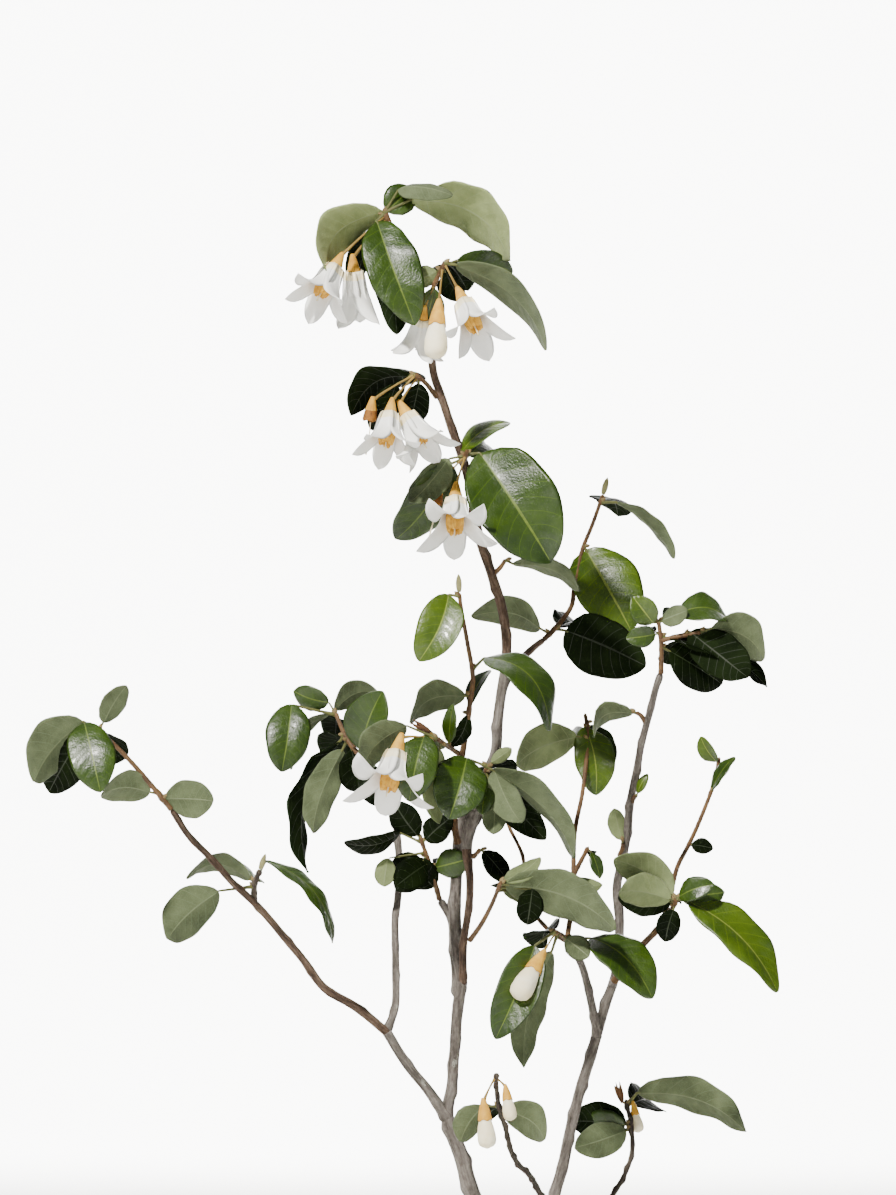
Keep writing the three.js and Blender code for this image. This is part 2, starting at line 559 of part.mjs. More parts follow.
function bloom(twig, share, row) {
  const [, outAim, outLength, aim, lean, kind, size] = row;
  const frame = frameOf(aim, lean, 0);
  const from = twig.getPointAt(share);
  const top = from.clone().addScaledVector(heading(outAim, lean / 2), outLength);
  const into = top.clone().addScaledVector(frame.chord, CALYX_LENGTH / 4 * size);
  const solids = [stalk(from, top, into, PEDICEL_RADIUS, PEDICEL_RADIUS)];
  if (kind === "tip") {
    solids.push(turned(top, frame, scaled(EGG, TIP_BUD_RADIUS * size, TIP_BUD_LENGTH * size)));
    return { middle: [top], solids };
  }
  solids.push(turned(top, frame, scaled(CUP, CALYX_RADIUS * size, CALYX_LENGTH * size)));
  const held = CALYX_LENGTH * CALYX_HOLD * size;
  if (kind === "bud") {
    solids.push(turned(top, frame, scaled(EGG, BUD_BODY_RADIUS * size, BUD_BODY_LENGTH * size, held)));
  }
  if (kind === "spent") {
    const foot = top.clone().addScaledVector(frame.chord, held);
    const end = foot.clone().addScaledVector(frame.chord, STYLE_LENGTH);
    solids.push(stalk(foot, foot.clone().lerp(end, 0.5), end, STYLE_RADIUS, STYLE_RADIUS));
  }
  if (kind in OPENNESS) {
    solids.push(corolla(top, frame, size, OPENNESS[kind]));
    solids.push(turned(top, frame, scaled(CONE, CONE_RADIUS * size, CONE_LENGTH * size, held)));
  }
  const end = top.clone().addScaledVector(frame.chord, 2 * CALYX_LENGTH * size);
  return { middle: [top, end], solids };
}

// Seeded numbers from 0 to 1: the same row of them for the same seed.
function seeded(seed) {
  let state = seed;
  return () => {
    state = (state * SEED_FACTOR + SEED_STEP) % SEED_RANGE;
    return state / SEED_RANGE;
  };
}

// The rule for one rear leaf: it grows behind a front leaf of its own spray, turned away to the back.
function rearRow(leaves, draw) {
  const front = leaves[Math.floor(draw() * leaves.length)];
  const aim = front[1] + (draw() - 0.5) * REAR_SPREAD;
  const lean = THREE.MathUtils.lerp(...REAR_LEAN, draw());
  const long = Math.min(front[3], REAR_LONGEST) * THREE.MathUtils.lerp(...REAR_LENGTH, draw());
  const { upper, across } = frameOf(aim, lean, 0);
  const skyward = Math.atan2(across.z, upper.z) / TURN;
  const roll = skyward + (draw() - 0.5) * 2 * REAR_ROLL;
  return [front[0], aim, lean, long, long * REAR_WIDTH, roll, REAR_ARCH];
}

function tooNear(places, taken) {
  return places.some((place) => taken.some((other) => place.distanceTo(other) < KEEP_CLEAR));
}

// One spray: its stem, its side twigs, its leaves and blooms, fused.
function spray({ route, depths, leaves, blooms, sides = [], rear }, index, taken) {
  const stem = curveOf(route, depths);
  const twigs = [stem, ...sides.map(({ from, aim, lean, length }) => {
    const start = stem.getPointAt(from);
    return new THREE.LineCurve3(start, start.clone().addScaledVector(heading(aim, lean), length));
  })];
  const solids = twigs.map((twig) => tube(twig,
    (share) => THREE.MathUtils.lerp(TWIG_FOOT_RADIUS, TWIG_TIP_RADIUS, share),
    TWIG_SIDES, Math.max(2, Math.round(twig.getLength() / TWIG_STEP))));
  const middles = [];
  const grow = (make, row) => make(twigs[Math.floor(row[0])], row[0] % 1, row);
  for (const piece of [...leaves.map((row) => grow(leaf, row)), ...blooms.map((row) => grow(bloom, row))]) {
    solids.push(...piece.solids);
    middles.push(...piece.middle);
  }
  const draw = seeded(index + 1);
  for (let i = 0; i < rear; i += 1) {
    const piece = grow(leaf, rearRow(leaves, draw));
    if (!tooNear(piece.middle, [...taken, ...middles])) {
      solids.push(...piece.solids);
      middles.push(...piece.middle);
    }
  }
  taken.push(...middles, ...twigs.flatMap((twig) => twig.getSpacedPoints(TWIG_MARKS)));
  const room = tube(stem, () => TWIG_FOOT_RADIUS + CLEARANCE, TWIG_SIDES,
    Math.max(2, Math.round(stem.getLength() / TWIG_STEP)));
  return { solid: wasm.Manifold.union(solids), room };
}

// The outer skin of a solid's largest piece: sealed hollows are filled and loose scraps dropped.
function largest(solid) {
  const pieces = solid.simplify(FINEST).decompose();
  return pieces.reduce((best, piece) => (piece.volume() > best.volume() ? piece : best));
}

function node(name, solid, bark) {
  const mesh = solid.getMesh();
  const geometry = new THREE.BufferGeometry();
  geometry.setAttribute("position", new THREE.BufferAttribute(mesh.vertProperties, 3));
  geometry.setIndex(new THREE.BufferAttribute(mesh.triVerts, 1));
  geometry.computeVertexNormals();
  const made = new THREE.Mesh(geometry, new THREE.MeshStandardMaterial(bark));
  made.name = name;
  return made;
}

// The whole bush: the limbs first, then the sprays, each cut clear of the limbs that carry it.
const bush = new THREE.Group();
const widened = {};
const taken = [];

for (const { name, bark, route, depths, radii, off } of LIMBS) {
  const curve = curveOf(route, depths);
  const rings = Math.max(4, Math.round(curve.getLength() / LIMB_STEP));
  let solid = tube(curve, (share) => spread(radii, share), LIMB_SIDES, rings);
  widened[name] = tube(curve, (share) => spread(radii, share) + CLEARANCE, LIMB_SIDES, rings, CLEARANCE);
  for (const other of off) {
    solid = solid.subtract(widened[other]);
  }
  const below = new THREE.BoxGeometry(GROUND_SIZE, GROUND_SIZE, GROUND_SIZE);
  solid = solid.subtract(formed(below, (x, y, z) => new THREE.Vector3(x, y, z - GROUND_SIZE / 2)));
  taken.push(...curve.getSpacedPoints(rings));
  bush.add(node(name, largest(solid), bark));
}

SPRAYS.forEach((entry, index) => {
  const { solid, room } = spray(entry, index, taken);
  const clear = entry.off.reduce((left, other) => left.subtract(widened[other]), solid);
  widened[entry.name] = room;
  bush.add(node(entry.name, largest(clear), FOLIAGE));
});

export default bush;
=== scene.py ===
import bpy
import numpy as np
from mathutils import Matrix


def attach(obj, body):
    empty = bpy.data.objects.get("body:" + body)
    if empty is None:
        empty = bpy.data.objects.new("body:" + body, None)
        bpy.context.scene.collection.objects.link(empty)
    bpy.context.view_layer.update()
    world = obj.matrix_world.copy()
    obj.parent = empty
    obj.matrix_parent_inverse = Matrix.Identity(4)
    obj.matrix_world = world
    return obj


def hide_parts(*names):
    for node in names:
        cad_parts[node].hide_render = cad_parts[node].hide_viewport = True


# A young snowdrop bush: slender forked stems from one root crown, open sprays of rounded leaves, glossy
# above and grey-green below, and hanging white bells. Lengths are in millimetres until a mesh is made.
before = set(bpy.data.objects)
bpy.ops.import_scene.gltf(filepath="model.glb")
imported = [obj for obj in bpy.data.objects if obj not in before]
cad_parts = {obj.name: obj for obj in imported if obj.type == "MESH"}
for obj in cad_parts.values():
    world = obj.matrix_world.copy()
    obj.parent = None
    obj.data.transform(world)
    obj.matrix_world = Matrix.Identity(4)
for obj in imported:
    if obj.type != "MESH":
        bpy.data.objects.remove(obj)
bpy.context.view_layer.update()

MM = 0.001
IMAGE_HIGH = 1195
MM_PER_PIXEL = 0.36
CAMERA_PLACE = (-0.02592, -4.0, 0.2691)
CAMERA_AWAY = 4.0
SENSOR = 36.0

# The plant's own sizes, as in its solids, with a thinner blade.
BLADE_THICKNESS = 0.5
BASE_POWER = 0.6
TIP_POWER = 0.68
PETIOLE_LENGTH = 4
PEDICEL_RADIUS = 0.55
TWIG_FOOT_RADIUS = 1.0
TWIG_TIP_RADIUS = 0.7
CALYX_LENGTH = 8.6
CALYX_RADIUS = 2.6
CALYX_HOLD = 0.7
PETAL_LENGTH = 21
PETAL_COUNT = 5
PETAL_SPREAD = (1.2, 0.62, 0.75, 0.8, 1.1)
ANTHER_COUNT = 10
ANTHER_LENGTH = 11
STYLE_LENGTH = 15
BUD_BODY_LENGTH = 13
BUD_BODY_RADIUS = 4.0
TIP_BUD_LENGTH = 6.5
TIP_BUD_RADIUS = 1.3
BURL_RADIUS = 3.6
OPENNESS = {"wide": 52, "open": 36, "half": 22}

# The seeded rule for the leaves behind the front ones, the same as in the solids.
REAR_LEAN = (56, 76)
REAR_LENGTH = (0.72, 1.0)
REAR_SPREAD = 20
REAR_ROLL = 50
REAR_ARCH = 0.12
REAR_WIDTH = 0.58
REAR_LONGEST = 32
KEEP_CLEAR = 5.5
STATION_SHARES = (0.2, 0.5, 0.85)
TWIG_MARKS = 12
SEED_FACTOR = 1664525
SEED_STEP = 1013904223
SEED_RANGE = 4294967296

# The limbs: each passes its [x, z] places, its y runs evenly through its depths, and its radii run
# evenly from foot to end.
LIMB_PARTS = ("name", "bark", "depths", "radii", "route")
LIMBS = [dict(zip(LIMB_PARTS, row)) for row in [
    ("trunk", "old_bark", [0, 0], [8.5, 4.2, 3.2, 2.9, 2.6, 1.9, 1.9, 2.2],
     [[0, 0], [-4, 20], [-11, 38], [-17, 54], [-22, 70], [-26, 83], [-24, 98], [-23, 116], [-21, 130]]),
    ("left_bough_lower", "old_bark", [0, -8], [2.0, 1.7, 1.7],
     [[-26, 81], [-34, 93], [-38, 98], [-43, 105], [-48, 113]]),
    ("left_bough", "old_bark", [-8, -28, -62], [1.6, 1.4, 1.2, 1.1],
     [[-48, 113], [-59, 122], [-71, 130], [-79, 141], [-94, 159], [-103, 168], [-110, 176], [-119, 186],
      [-124, 194]]),
    ("left_riser", "old_bark", [-8, 12, 44], [1.4, 1.3, 1.3, 1.1],
     [[-48, 113], [-45, 122], [-45, 151], [-44, 160], [-44, 182], [-47, 196], [-56, 209]]),
    ("tall_stem_lower", "old_bark", [0, 12, 12], [2.1, 2.1, 1.9, 1.8],
     [[-21, 130], [-23, 146], [-23, 164], [-22, 182], [-18, 194], [-14, 202], [-9, 212], [-8, 225],
      [-5, 244]]),
    ("tall_stem_upper", "young_bark", [12, 0, -14, -20], [1.8, 1.7, 1.6, 1.4, 1.1],
     [[-5, 244], [-5, 254], [-7, 268], [-10, 277], [-14, 288], [-17, 304], [-21, 320], [-28, 340],
      [-31, 349], [-32, 358], [-36, 376], [-43, 395]]),
    ("inner_left_bough", "old_bark", [0, 14], [1.5, 1.5, 1.4],
     [[-23, 126], [-24, 146], [-25, 153], [-29, 160]]),
    ("centre_stem", "young_bark", [0, -15, -17], [1.4, 1.4, 1.35, 1.35, 1.5, 2.4, 3.6],
     [[-21, 129], [-20, 146], [-18, 167], [-19, 182], [-17, 190], [-13, 199]]),
    ("centre_shoot", "young_bark", [8, -20], [1.3, 1.2, 1.0],
     [[-22, 178], [-24, 189], [-22, 203], [-21, 212], [-19, 223]]),
    ("upper_right_bough", "young_bark", [12, 28], [1.3, 1.1],
     [[-6, 237], [-2, 244], [4, 250], [9, 254]]),
    ("right_stem_lower", "old_bark", [0, 16, 20], [4.4, 2.3, 2.0, 1.9, 1.9],
     [[2, 2], [5, 20], [9, 38], [13, 54], [17, 70], [20, 84], [25, 101], [28, 111]]),
    ("right_stem_upper", "old_bark", [20, 16, 0, -38], [1.8, 1.7, 1.5, 1.3, 1.2],
     [[28, 111], [31, 122], [35, 134], [36, 152], [35, 164], [37, 174], [39, 188], [41, 203], [45, 223],
      [47, 232], [50, 242]]),
    ("right_twig", "old_bark", [20, -8], [1.5, 1.3],
     [[28, 110], [26, 122], [24, 131], [22, 137], [18, 145]]),
    ("long_thin_twig", "young_bark", [-8, 42], [0.8, 0.6],
     [[18, 145], [12, 148], [6, 154], [2, 164], [1, 175], [-5, 189]]),
    ("right_side_bough", "young_bark", [18, -22], [1.3, 1.1],
     [[33, 129], [44, 144], [50, 151], [53, 156]]),
]]

# The sprays: each grows from one stem. A leaf or bloom starts at a place along it: the whole number picks
# the stem (0) or the side twig (1), the rest is the share along it. Leaf: place, aim, lean, length, width,
# roll, arch, petiole length, petiole aim. Aim is the chord's angle from the front (0 right, 90 up), lean
# turns it to the back, roll turns the blade about its chord (0 shows the upper face), arch is its rise.
# Bloom: place, stalk aim, stalk length, aim, lean, kind, size. Tones name each leaf's greens in turn, as
# lit and shaded copies of one green: b painted light, m plain, d painted shade, s painted sunlight. Rear
# is how many leaves the seeded rule may add.
SPRAY_PARTS = ("name", "part", "rear", "depths", "route", "tones", "leaves", "blooms")
SPRAYS = [dict(zip(SPRAY_PARTS, row)) for row in [
    ("top_left_spray", "crown_top", 2, [-20, -23], [[-43, 396], [-46, 402], [-49, 407]], "sdmdmms",
     [[0.9, 231, -20, 32, 21, 230, 0.32, 2, 130],
      [0.7, 250, 32, 26, 12, 230, 0.1, 6, 215],
      [0.95, 290, -18, 42, 20, 12, 0.12, 4, 225],
      [0.8, 275, 14, 40, 15, 170, 0.06, 3],
      [0.98, 42, 20, 13, 12, 0, 0.15, 1],
      [0.97, 352, -22, 21, 12, 225, -0.12, 10, 58],
      [0.98, 328, -9, 42, 27, 130, 0.27, 11, 26]],
     [[0.9, 222, 21, 242, -25, "open", 1.05],
      [0.8, 226, 18, 275, 12, "half", 1]]),
    ("top_right_spray", "crown_top", 2, [-17, -32], [[-34, 370], [-32, 378], [-27, 389]], "mdmbm",
     [[0.98, 317, -12, 46, 20, 122, 0.14, 4, 350],
      [0.9, 305, 40, 16, 10, 200, 0.1, 3],
      [0.95, 350, 26, 23, 10, 8, 0.06, 5, 15],
      [0.85, 205, 20, 12, 8, 190, 0.1, 2],
      [0.6, 252, 30, 20, 11, 15, 0.1, 2]],
     [[0.9, 264, 12, 266, -22, "bud", 1.2],
      [0.97, 298, 10, 294, -28, "open", 1.05],
      [0.6, 246, 9, 258, 22, "open", 0.85]]),
    ("mid_left_spray", "crown_top", 1, [-14, -24], [[-30, 341], [-34, 346], [-38, 349]], "ddd",
     [[0.98, 214, 12, 26, 19, 235, 0.24, 2],
      [0.8, 258, 30, 18, 11, 20, 0.1, 2],
      [0.95, 243, 22, 20, 12, 15, 0.1, 8, 205]],
     [[0.98, 208, 17, 262, 8, "spent", 1],
      [0.95, 225, 12, 262, -24, "open", 1],
      [0.85, 230, 11, 300, -14, "open", 1]]),
    ("upper_node_spray", "crown_top", 1, [-7, -18], [[-21, 317], [-20, 319], [-19, 322]], "bmmm",
     [[0.3, 32, 15, 21, 15, 60, 0.14, 3, 100],
      [0.7, 303, -12, 48, 31, 10, 0.1, 5, 5],
      [0.6, 229, -16, 22, 14, 150, 0.12, 6, 190],
      [0.4, 234, 14, 35, 19, 20, 0.1, 5, 200]],
     [[0.6, 225, 13, 258, -6, "spent", 1],
      [0.7, 251, 11, 268, -28, "wide", 1.1]]),
    ("mid_stem_leaf", "crown_top", 0, [4, 0], [[-9, 278], [-7, 280], [-5, 283]], "m",
     [[0.95, 338, -15, 27, 14, 118, 0.15, 3, 330]], []),
    ("upper_right_spray", "crown_right", 3, [28, 56, 74],
     [[9, 254], [14, 259], [19, 266], [20, 272], [23, 286], [27, 296], [31, 307]], "mbdm",
     [[0.95, 316, -8, 30, 12, 112, 0.1, 6, 0],
      [0.68, 299, -20, 36, 26, 8, 0.08, 2],
      [0.1, 336, 14, 33, 23, 190, 0.08, 4, 350],
      [0.05, 170, 12, 26, 15, 218, 0.25, 4, 150]],
     [[0.99, 75, 2, 75, 0, "tip", 1]]),
    ("right_top_spray", "crown_right", 3, [-38, -44], [[50, 242], [50, 253], [49, 261]], "bmmmdddm",
     [[0.97, 128, -10, 12, 10, 0, 0.1, 2, 190],
      [0.97, 22, -25, 11, 8, 200, 0.1, 1],
      [0.97, 352, 10, 18, 17, 52, 0.24, 8, 21],
      [1.97, 330, -12, 22, 18, 148, 0.3, 4, 20],
      [1.6, 321, -28, 30, 17, 190, 0.1, 2, 40],
      [0.7, 335, 8, 40, 17, 62, 0.08, 3],
      [0.5, 328, 24, 25, 17, 20, 0.1, 3],
      [0.75, 188, -15, 11, 8, 0, 0.1, 2]], []),
    ("right_stem_spur", "crown_right", 0, [-22, -26], [[45, 224], [43, 227], [41, 228]], "m",
     [[0.95, 212, -14, 17, 12, 232, 0.38, 1]], []),
    ("right_stem_bud", "crown_right", 0, [1, -5], [[40, 195], [41, 197], [42, 198]], "b",
     [[0.95, 62, -8, 8, 4, 30, 0.1, 1]], []),
    ("right_stem_leaf", "crown_right", 0, [8, 4], [[36, 176], [37, 179], [37, 181]], "b",
     [[0.95, 104, -10, 12, 7, 170, 0.1, 1]], []),
    ("inner_right_spray", "crown_right", 3, [-4, 26, 52],
     [[17, 147], [19, 160], [20, 184], [23, 199], [25, 220], [24, 227]], "bbdm",
     [[0.88, 205, -20, 26, 18, 212, 0.22, 4, 160],
      [0.93, 279, -16, 26, 15, 15, 0.1, 1, 150],
      [0.96, 300, 18, 18, 10, 150, 0.1, 2],
      [1.9, 288, -10, 10, 5, 30, 0.1, 2, 320]], []),
    ("centre_spray", "crown_middle", 2, [-20, -32],
     [[-19, 223], [-18, 232], [-17, 240], [-19, 253], [-21, 264], [-22, 271]], "bmmmd",
     [[0.97, 246, -15, 27, 16, 0, 0.12, 4, 172],
      [0.42, 312, -14, 36, 21, 55, 0.26, 6, 45],
      [0.12, 61, 25, 16, 9, 60, 0.1, 2],
      [0.23, 206, -18, 23, 15, 222, 0.28, 2],
      [0.1, 242, 4, 13, 7, 30, 0.1, 1]],
     [[0.99, 90, 1, 92, -5, "tip", 1]]),
    ("centre_left_spray", "crown_middle", 2, [-13, -42], [[-22, 213], [-26, 216], [-30, 219]], "mmbm",
     [[0.97, 226, -15, 23, 15, 216, 0.28, 12, 157],
      [0.95, 257, -22, 26, 16, 0, 0.12, 5, 165],
      [0.8, 268, 8, 27, 13, 235, 0.06, 3],
      [0.45, 84, -30, 16, 6, 30, 0.05, 2]],
     [[0.97, 172, 13, 256, -22, "wide", 1.2],
      [0.9, 140, 4, 150, 0, "husk", 0.7]]),
    ("burl_spray", "crown_middle", 2, [-17, -26], [[-13, 199], [-13, 204], [-12, 209]], "mmdmmmb",
     [[0.97, 254, -26, 25, 20, 0, 0.12, 8, 158],
      [0.97, 314, -14, 45, 20, 122, 0.12, 2],
      [0.8, 311, 14, 32, 13, 170, 0.08, 2],
      [0.93, 297, -30, 24, 12, 200, 0.15, 3, 340],
      [0.8, 266, -20, 13, 9, 185, 0.1, 11, 288],
      [0.6, 266, -36, 15, 9, 0, 0.1, 2],
      [0.99, 35, -10, 9, 5, 180, 0.1, 2]], []),
    ("left_riser_spray", "crown_left", 3, [44, 58], [[-56, 209], [-63, 218], [-67, 227]], "mmmmmddmd",
     [[0.98, 162, 14, 14, 10, 20, 0.1, 5, 122],
      [0.97, 20, -16, 18, 12, 145, 0.26, 2, 110],
      [0.96, 262, -18, 26, 17, 0, 0.12, 17, 167],
      [0.95, 236, 10, 25, 9, 235, 0.24, 3, 170],
      [0.5, 250, -18, 34, 13, 200, 0.14, 4],
      [0.6, 256, 6, 50, 15, 245, 0.18, 3],
      [0.4, 278, 22, 17, 13, 0, 0.1, 2],
      [0.1, 71, -24, 25, 17, 25, 0.1, 3, 85],
      [0.05, 284, -18, 16, 12, 0, 0.1, 2, 300]], []),
    ("inner_left_spray", "crown_left", 2, [14, 8, 4], [[-29, 160], [-32, 171], [-36, 183]], "dddbdmddd",
     [[0.95, 125, -6, 15, 12, 20, 0.1, 2],
      [0.9, 42, -24, 14, 10, 0, 0.1, 2],
      [0.9, 190, -14, 21, 13, 58, 0.15, 9, 155],
      [0.75, 262, -20, 11, 8, 180, 0.1, 14, 188],
      [0.6, 186, 10, 12, 11, 10, 0.1, 2],
      [0.5, 15, -12, 13, 11, 0, 0.1, 2],
      [0.6, 215, -36, 16, 12, 0, 0.1, 2],
      [0.7, 228, -10, 15, 12, 10, 0.1, 2],
      [0.15, 132, -20, 15, 12, 0, 0.1, 2]], []),
    ("centre_stem_leaf", "crown_middle", 0, [-16, -18], [[-17, 176], [-15, 178], [-14, 179]], "d",
     [[0.95, 309, 8, 15, 9, 30, 0.1, 1]], []),
    ("left_tip_spray", "crown_left", 1, [-62, -74],
     [[-124, 194], [-128, 199], [-139, 212], [-150, 223]], "mmmdmm",
     [[0.97, 58, -10, 16, 10, 150, 0.1, 3],
      [0.97, 284, -26, 28, 17, 0, 0.12, 6, 153],
      [0.96, 231, -12, 28, 21, 216, 0.15, 7, 150],
      [0.9, 240, 22, 27, 16, 0, 0.1, 8, 170],
      [0.18, 183, -16, 18, 17, 225, 0.2, 3],
      [0.13, 357, -24, 19, 15, 162, 0.12, 1]], []),
    ("left_side_spray", "crown_left", 1, [-33, -44], [[-95, 161], [-95, 166], [-93, 172]], "mmm",
     [[0.6, 179, -10, 23, 14, 235, 0.28, 2],
      [0.45, 223, -22, 27, 17, 200, 0.12, 13, 187],
      [0.8, 309, 6, 38, 12, 66, 0.2, 6, 62]],
     [[0.99, 70, 1, 70, 0, "tip", 0.9]]),
    ("lower_centre_spray", "crown_low", 2, [-8, -40],
     [[-18, 146], [-14, 152], [-10, 160], [-7, 168]], "mbbd",
     [[0.96, 338, -12, 43, 20, 152, 0.2, 2],
      [0.97, 33, 18, 16, 10, 230, 0.1, 2],
      [0.85, 3, 6, 36, 12, 200, 0.1, 2],
      [0.9, 262, 6, 13, 10, 0, 0.1, 12, 357]], []),
    ("bud_spray", "crown_low", 2, [-9, -30], [[18, 145], [15, 148], [12, 150]], "mmmm",
     [[0.3, 316, -22, 33, 19, 35, 0.15, 9, 2],
      [0.95, 247, -14, 37, 16, 5, 0.05, 9, 215],
      [0.8, 256, -4, 43, 14, 215, 0.1, 7, 252],
      [0.6, 322, -16, 11, 9, 180, 0.1, 2]],
     [[0.9, 238, 8, 239, -30, "bud", 1.18]]),
    ("right_side_spray", "crown_low", 2, [-22, -30], [[53, 156], [55, 159], [56, 162]], "bbdmmbd",
     [[0.9, 148, -8, 25, 16, 212, 0.16, 2],
      [0.8, 170, -26, 21, 13, 200, 0.12, 2],
      [0.7, 176, 10, 19, 12, 195, 0.1, 2],
      [0.97, 20, -18, 14, 9, 20, 0.12, 1],
      [0.85, 8, 14, 16, 10, 10, 0.1, 2],
      [0.95, 315, -10, 46, 19, 52, 0.1, 4, 342],
      [0.6, 256, 6, 12, 9, 0, 0.1, 2]], []),
    ("thin_right_spray", "crown_low", 0, [-18, 30, 50],
     [[51, 153], [54, 162], [57, 172], [61, 179], [65, 187], [71, 202], [73, 211]], "bmd",
     [[0.97, 123, -10, 11, 7, 30, 0.1, 1],
      [0.83, 56, -6, 15, 8, 60, 0.08, 1],
      [0.56, 350, -5, 8, 6, 0, 0.1, 1]], []),
    ("lower_front_spray", "crown_low", 2, [11, -20, -48],
     [[11, 44], [6, 57], [3, 62], [0, 65], [-3, 70], [-5, 78], [-8, 89], [-9, 100]], "mm",
     [[0.8, 238, -12, 15, 11, 205, 0.2, 6, 180],
      [0.78, 326, -18, 19, 15, 148, 0.28, 1]],
     [[0.98, 240, 9, 275, -8, "bud", 0.95],
      [0.97, 325, 4, 279, -14, "bud", 0.7]]),
    ("lower_back_spray", "crown_low", 1, [5, 30, 56],
     [[6, 22], [22, 38], [35, 54], [39, 61], [41, 67], [41, 75], [39, 86]], "mdmm",
     [[0.97, 341, -12, 43, 16, 142, 0.16, 6, 52],
      [0.88, 177, 8, 21, 14, 190, 0.1, 2],
      [0.86, 198, -6, 20, 13, 175, 0.1, 2],
      [0.88, 182, 26, 17, 12, 0, 0.1, 2]],
     [[0.96, 50, 3, 281, -12, "bud", 0.62],
      [0.97, 150, 2, 105, 0, "husk", 0.75]]),
]]

# Two sprays have a side twig, which leaves the stem at a share of it: aim, lean, length. Three grow on
# old grey spurs.
SIDE_TWIGS = {"right_top_spray": (0.62, 12, -8, 15), "inner_right_spray": (0.28, 62, -10, 12)}
OLD_SPURS = ("left_side_spray", "lower_front_spray", "lower_back_spray")


def unit(ways):
    """Each vector of the last axis divided by its own length."""
    return ways / np.maximum(np.linalg.norm(ways, axis=-1, keepdims=True), 1e-9)


def held(values):
    """Values kept from 0 to 1."""
    return np.clip(values, 0, 1)


def full_turn(count):
    """Angles set evenly round a full turn."""
    return np.linspace(0, 2 * np.pi, count, endpoint=False)


def spread(values, share):
    """Values set evenly from 0 to 1, read at a share, straight between each two."""
    return np.interp(share, np.linspace(0, 1, len(values)), values)


def heading(aim, lean):
    """The way of an aim in the front view, leaned back: (cos lean cos aim, sin lean, cos lean sin aim)."""
    aim, lean = np.radians(aim), np.radians(lean)
    return np.array([np.cos(lean) * np.cos(aim), np.sin(lean), np.cos(lean) * np.sin(aim)])


def frame_of(aim, lean, roll):
    """The chord, the way the upper face looks, and the left of a blade or bloom, square to each other."""
    chord = heading(aim, lean)
    facing = unit(np.array([0, -1, 0]) + chord * chord[1])
    aside = np.cross(facing, chord)
    upper = facing * np.cos(np.radians(roll)) + aside * np.sin(np.radians(roll))
    return chord, upper, np.cross(upper, chord)


def steps_of(points):
    """How far each of a run of points lies from the one before."""
    return np.linalg.norm(np.diff(points, axis=0), axis=1)


def run_of(points):
    """How far along a run of points each of them lies."""
    return np.concatenate([[0], np.cumsum(steps_of(points))])


def evenly(points, count):
    """The same run of points, drawn again with `count` points an equal distance apart."""
    run = run_of(points)
    return np.column_stack([np.interp(np.linspace(0, run[-1], count), run, points[:, k]) for k in range(3)])


CURVE_STEPS = 40


def course(route, depths):
    """A smooth curve through a route: between two knots it is the cubic whose slopes at its ends are the
    chord slopes on either side, weighed by the square roots of the chords' lengths."""
    flat = np.array(route, float)
    run = run_of(flat)
    knots = np.column_stack([flat[:, 0], spread(depths, run / run[-1]), flat[:, 1]])
    knots = np.vstack([2 * knots[0] - knots[1], knots, 2 * knots[-1] - knots[-2]])
    gap = np.sqrt(steps_of(knots))[:, None]
    p0, p1, p2, p3 = knots[:-3], knots[1:-2], knots[2:-1], knots[3:]
    g0, g1, g2 = gap[:-2], gap[1:-1], gap[2:]
    m1 = ((p1 - p0) / g0 - (p2 - p0) / (g0 + g1) + (p2 - p1) / g1) * g1
    m2 = ((p2 - p1) / g1 - (p3 - p1) / (g1 + g2) + (p3 - p2) / g2) * g1
    t = np.linspace(0, 1, CURVE_STEPS, endpoint=False)[None, :, None]
    p1, p2, m1, m2 = (k[:, None, :] for k in (p1, p2, m1, m2))
    drawn = p1 + m1 * t + (3 * (p2 - p1) - 2 * m1 - m2) * t ** 2 + (2 * (p1 - p2) + m1 + m2) * t ** 3
    return evenly(np.vstack([drawn.reshape(-1, 3), knots[-2]]), CURVE_STEPS * len(flat))


def bent(start, through, end, count):
    """Places along the quadratic curve from start to end that is pulled towards a place between."""
    t = np.linspace(0, 1, count)[:, None]
    return (1 - t) ** 2 * start + 2 * t * (1 - t) * through + t ** 2 * end


def at(points, share):
    """The place at a share of an evenly drawn run of points."""
    place = held(share) * (len(points) - 1)
    return np.array([np.interp(place, np.arange(len(points)), points[:, k]) for k in range(3)])


def seeded(seed):
    """Numbers from 0 to 1, each the last state times a factor plus a step, over the range."""
    state = seed
    while True:
        state = (state * SEED_FACTOR + SEED_STEP) % SEED_RANGE
        yield state / SEED_RANGE


def placed(name, data):
    """A new object at the origin for a mesh, a lamp or a camera, put into the scene."""
    made = bpy.data.objects.new(name, data)
    bpy.context.scene.collection.objects.link(made)
    return made


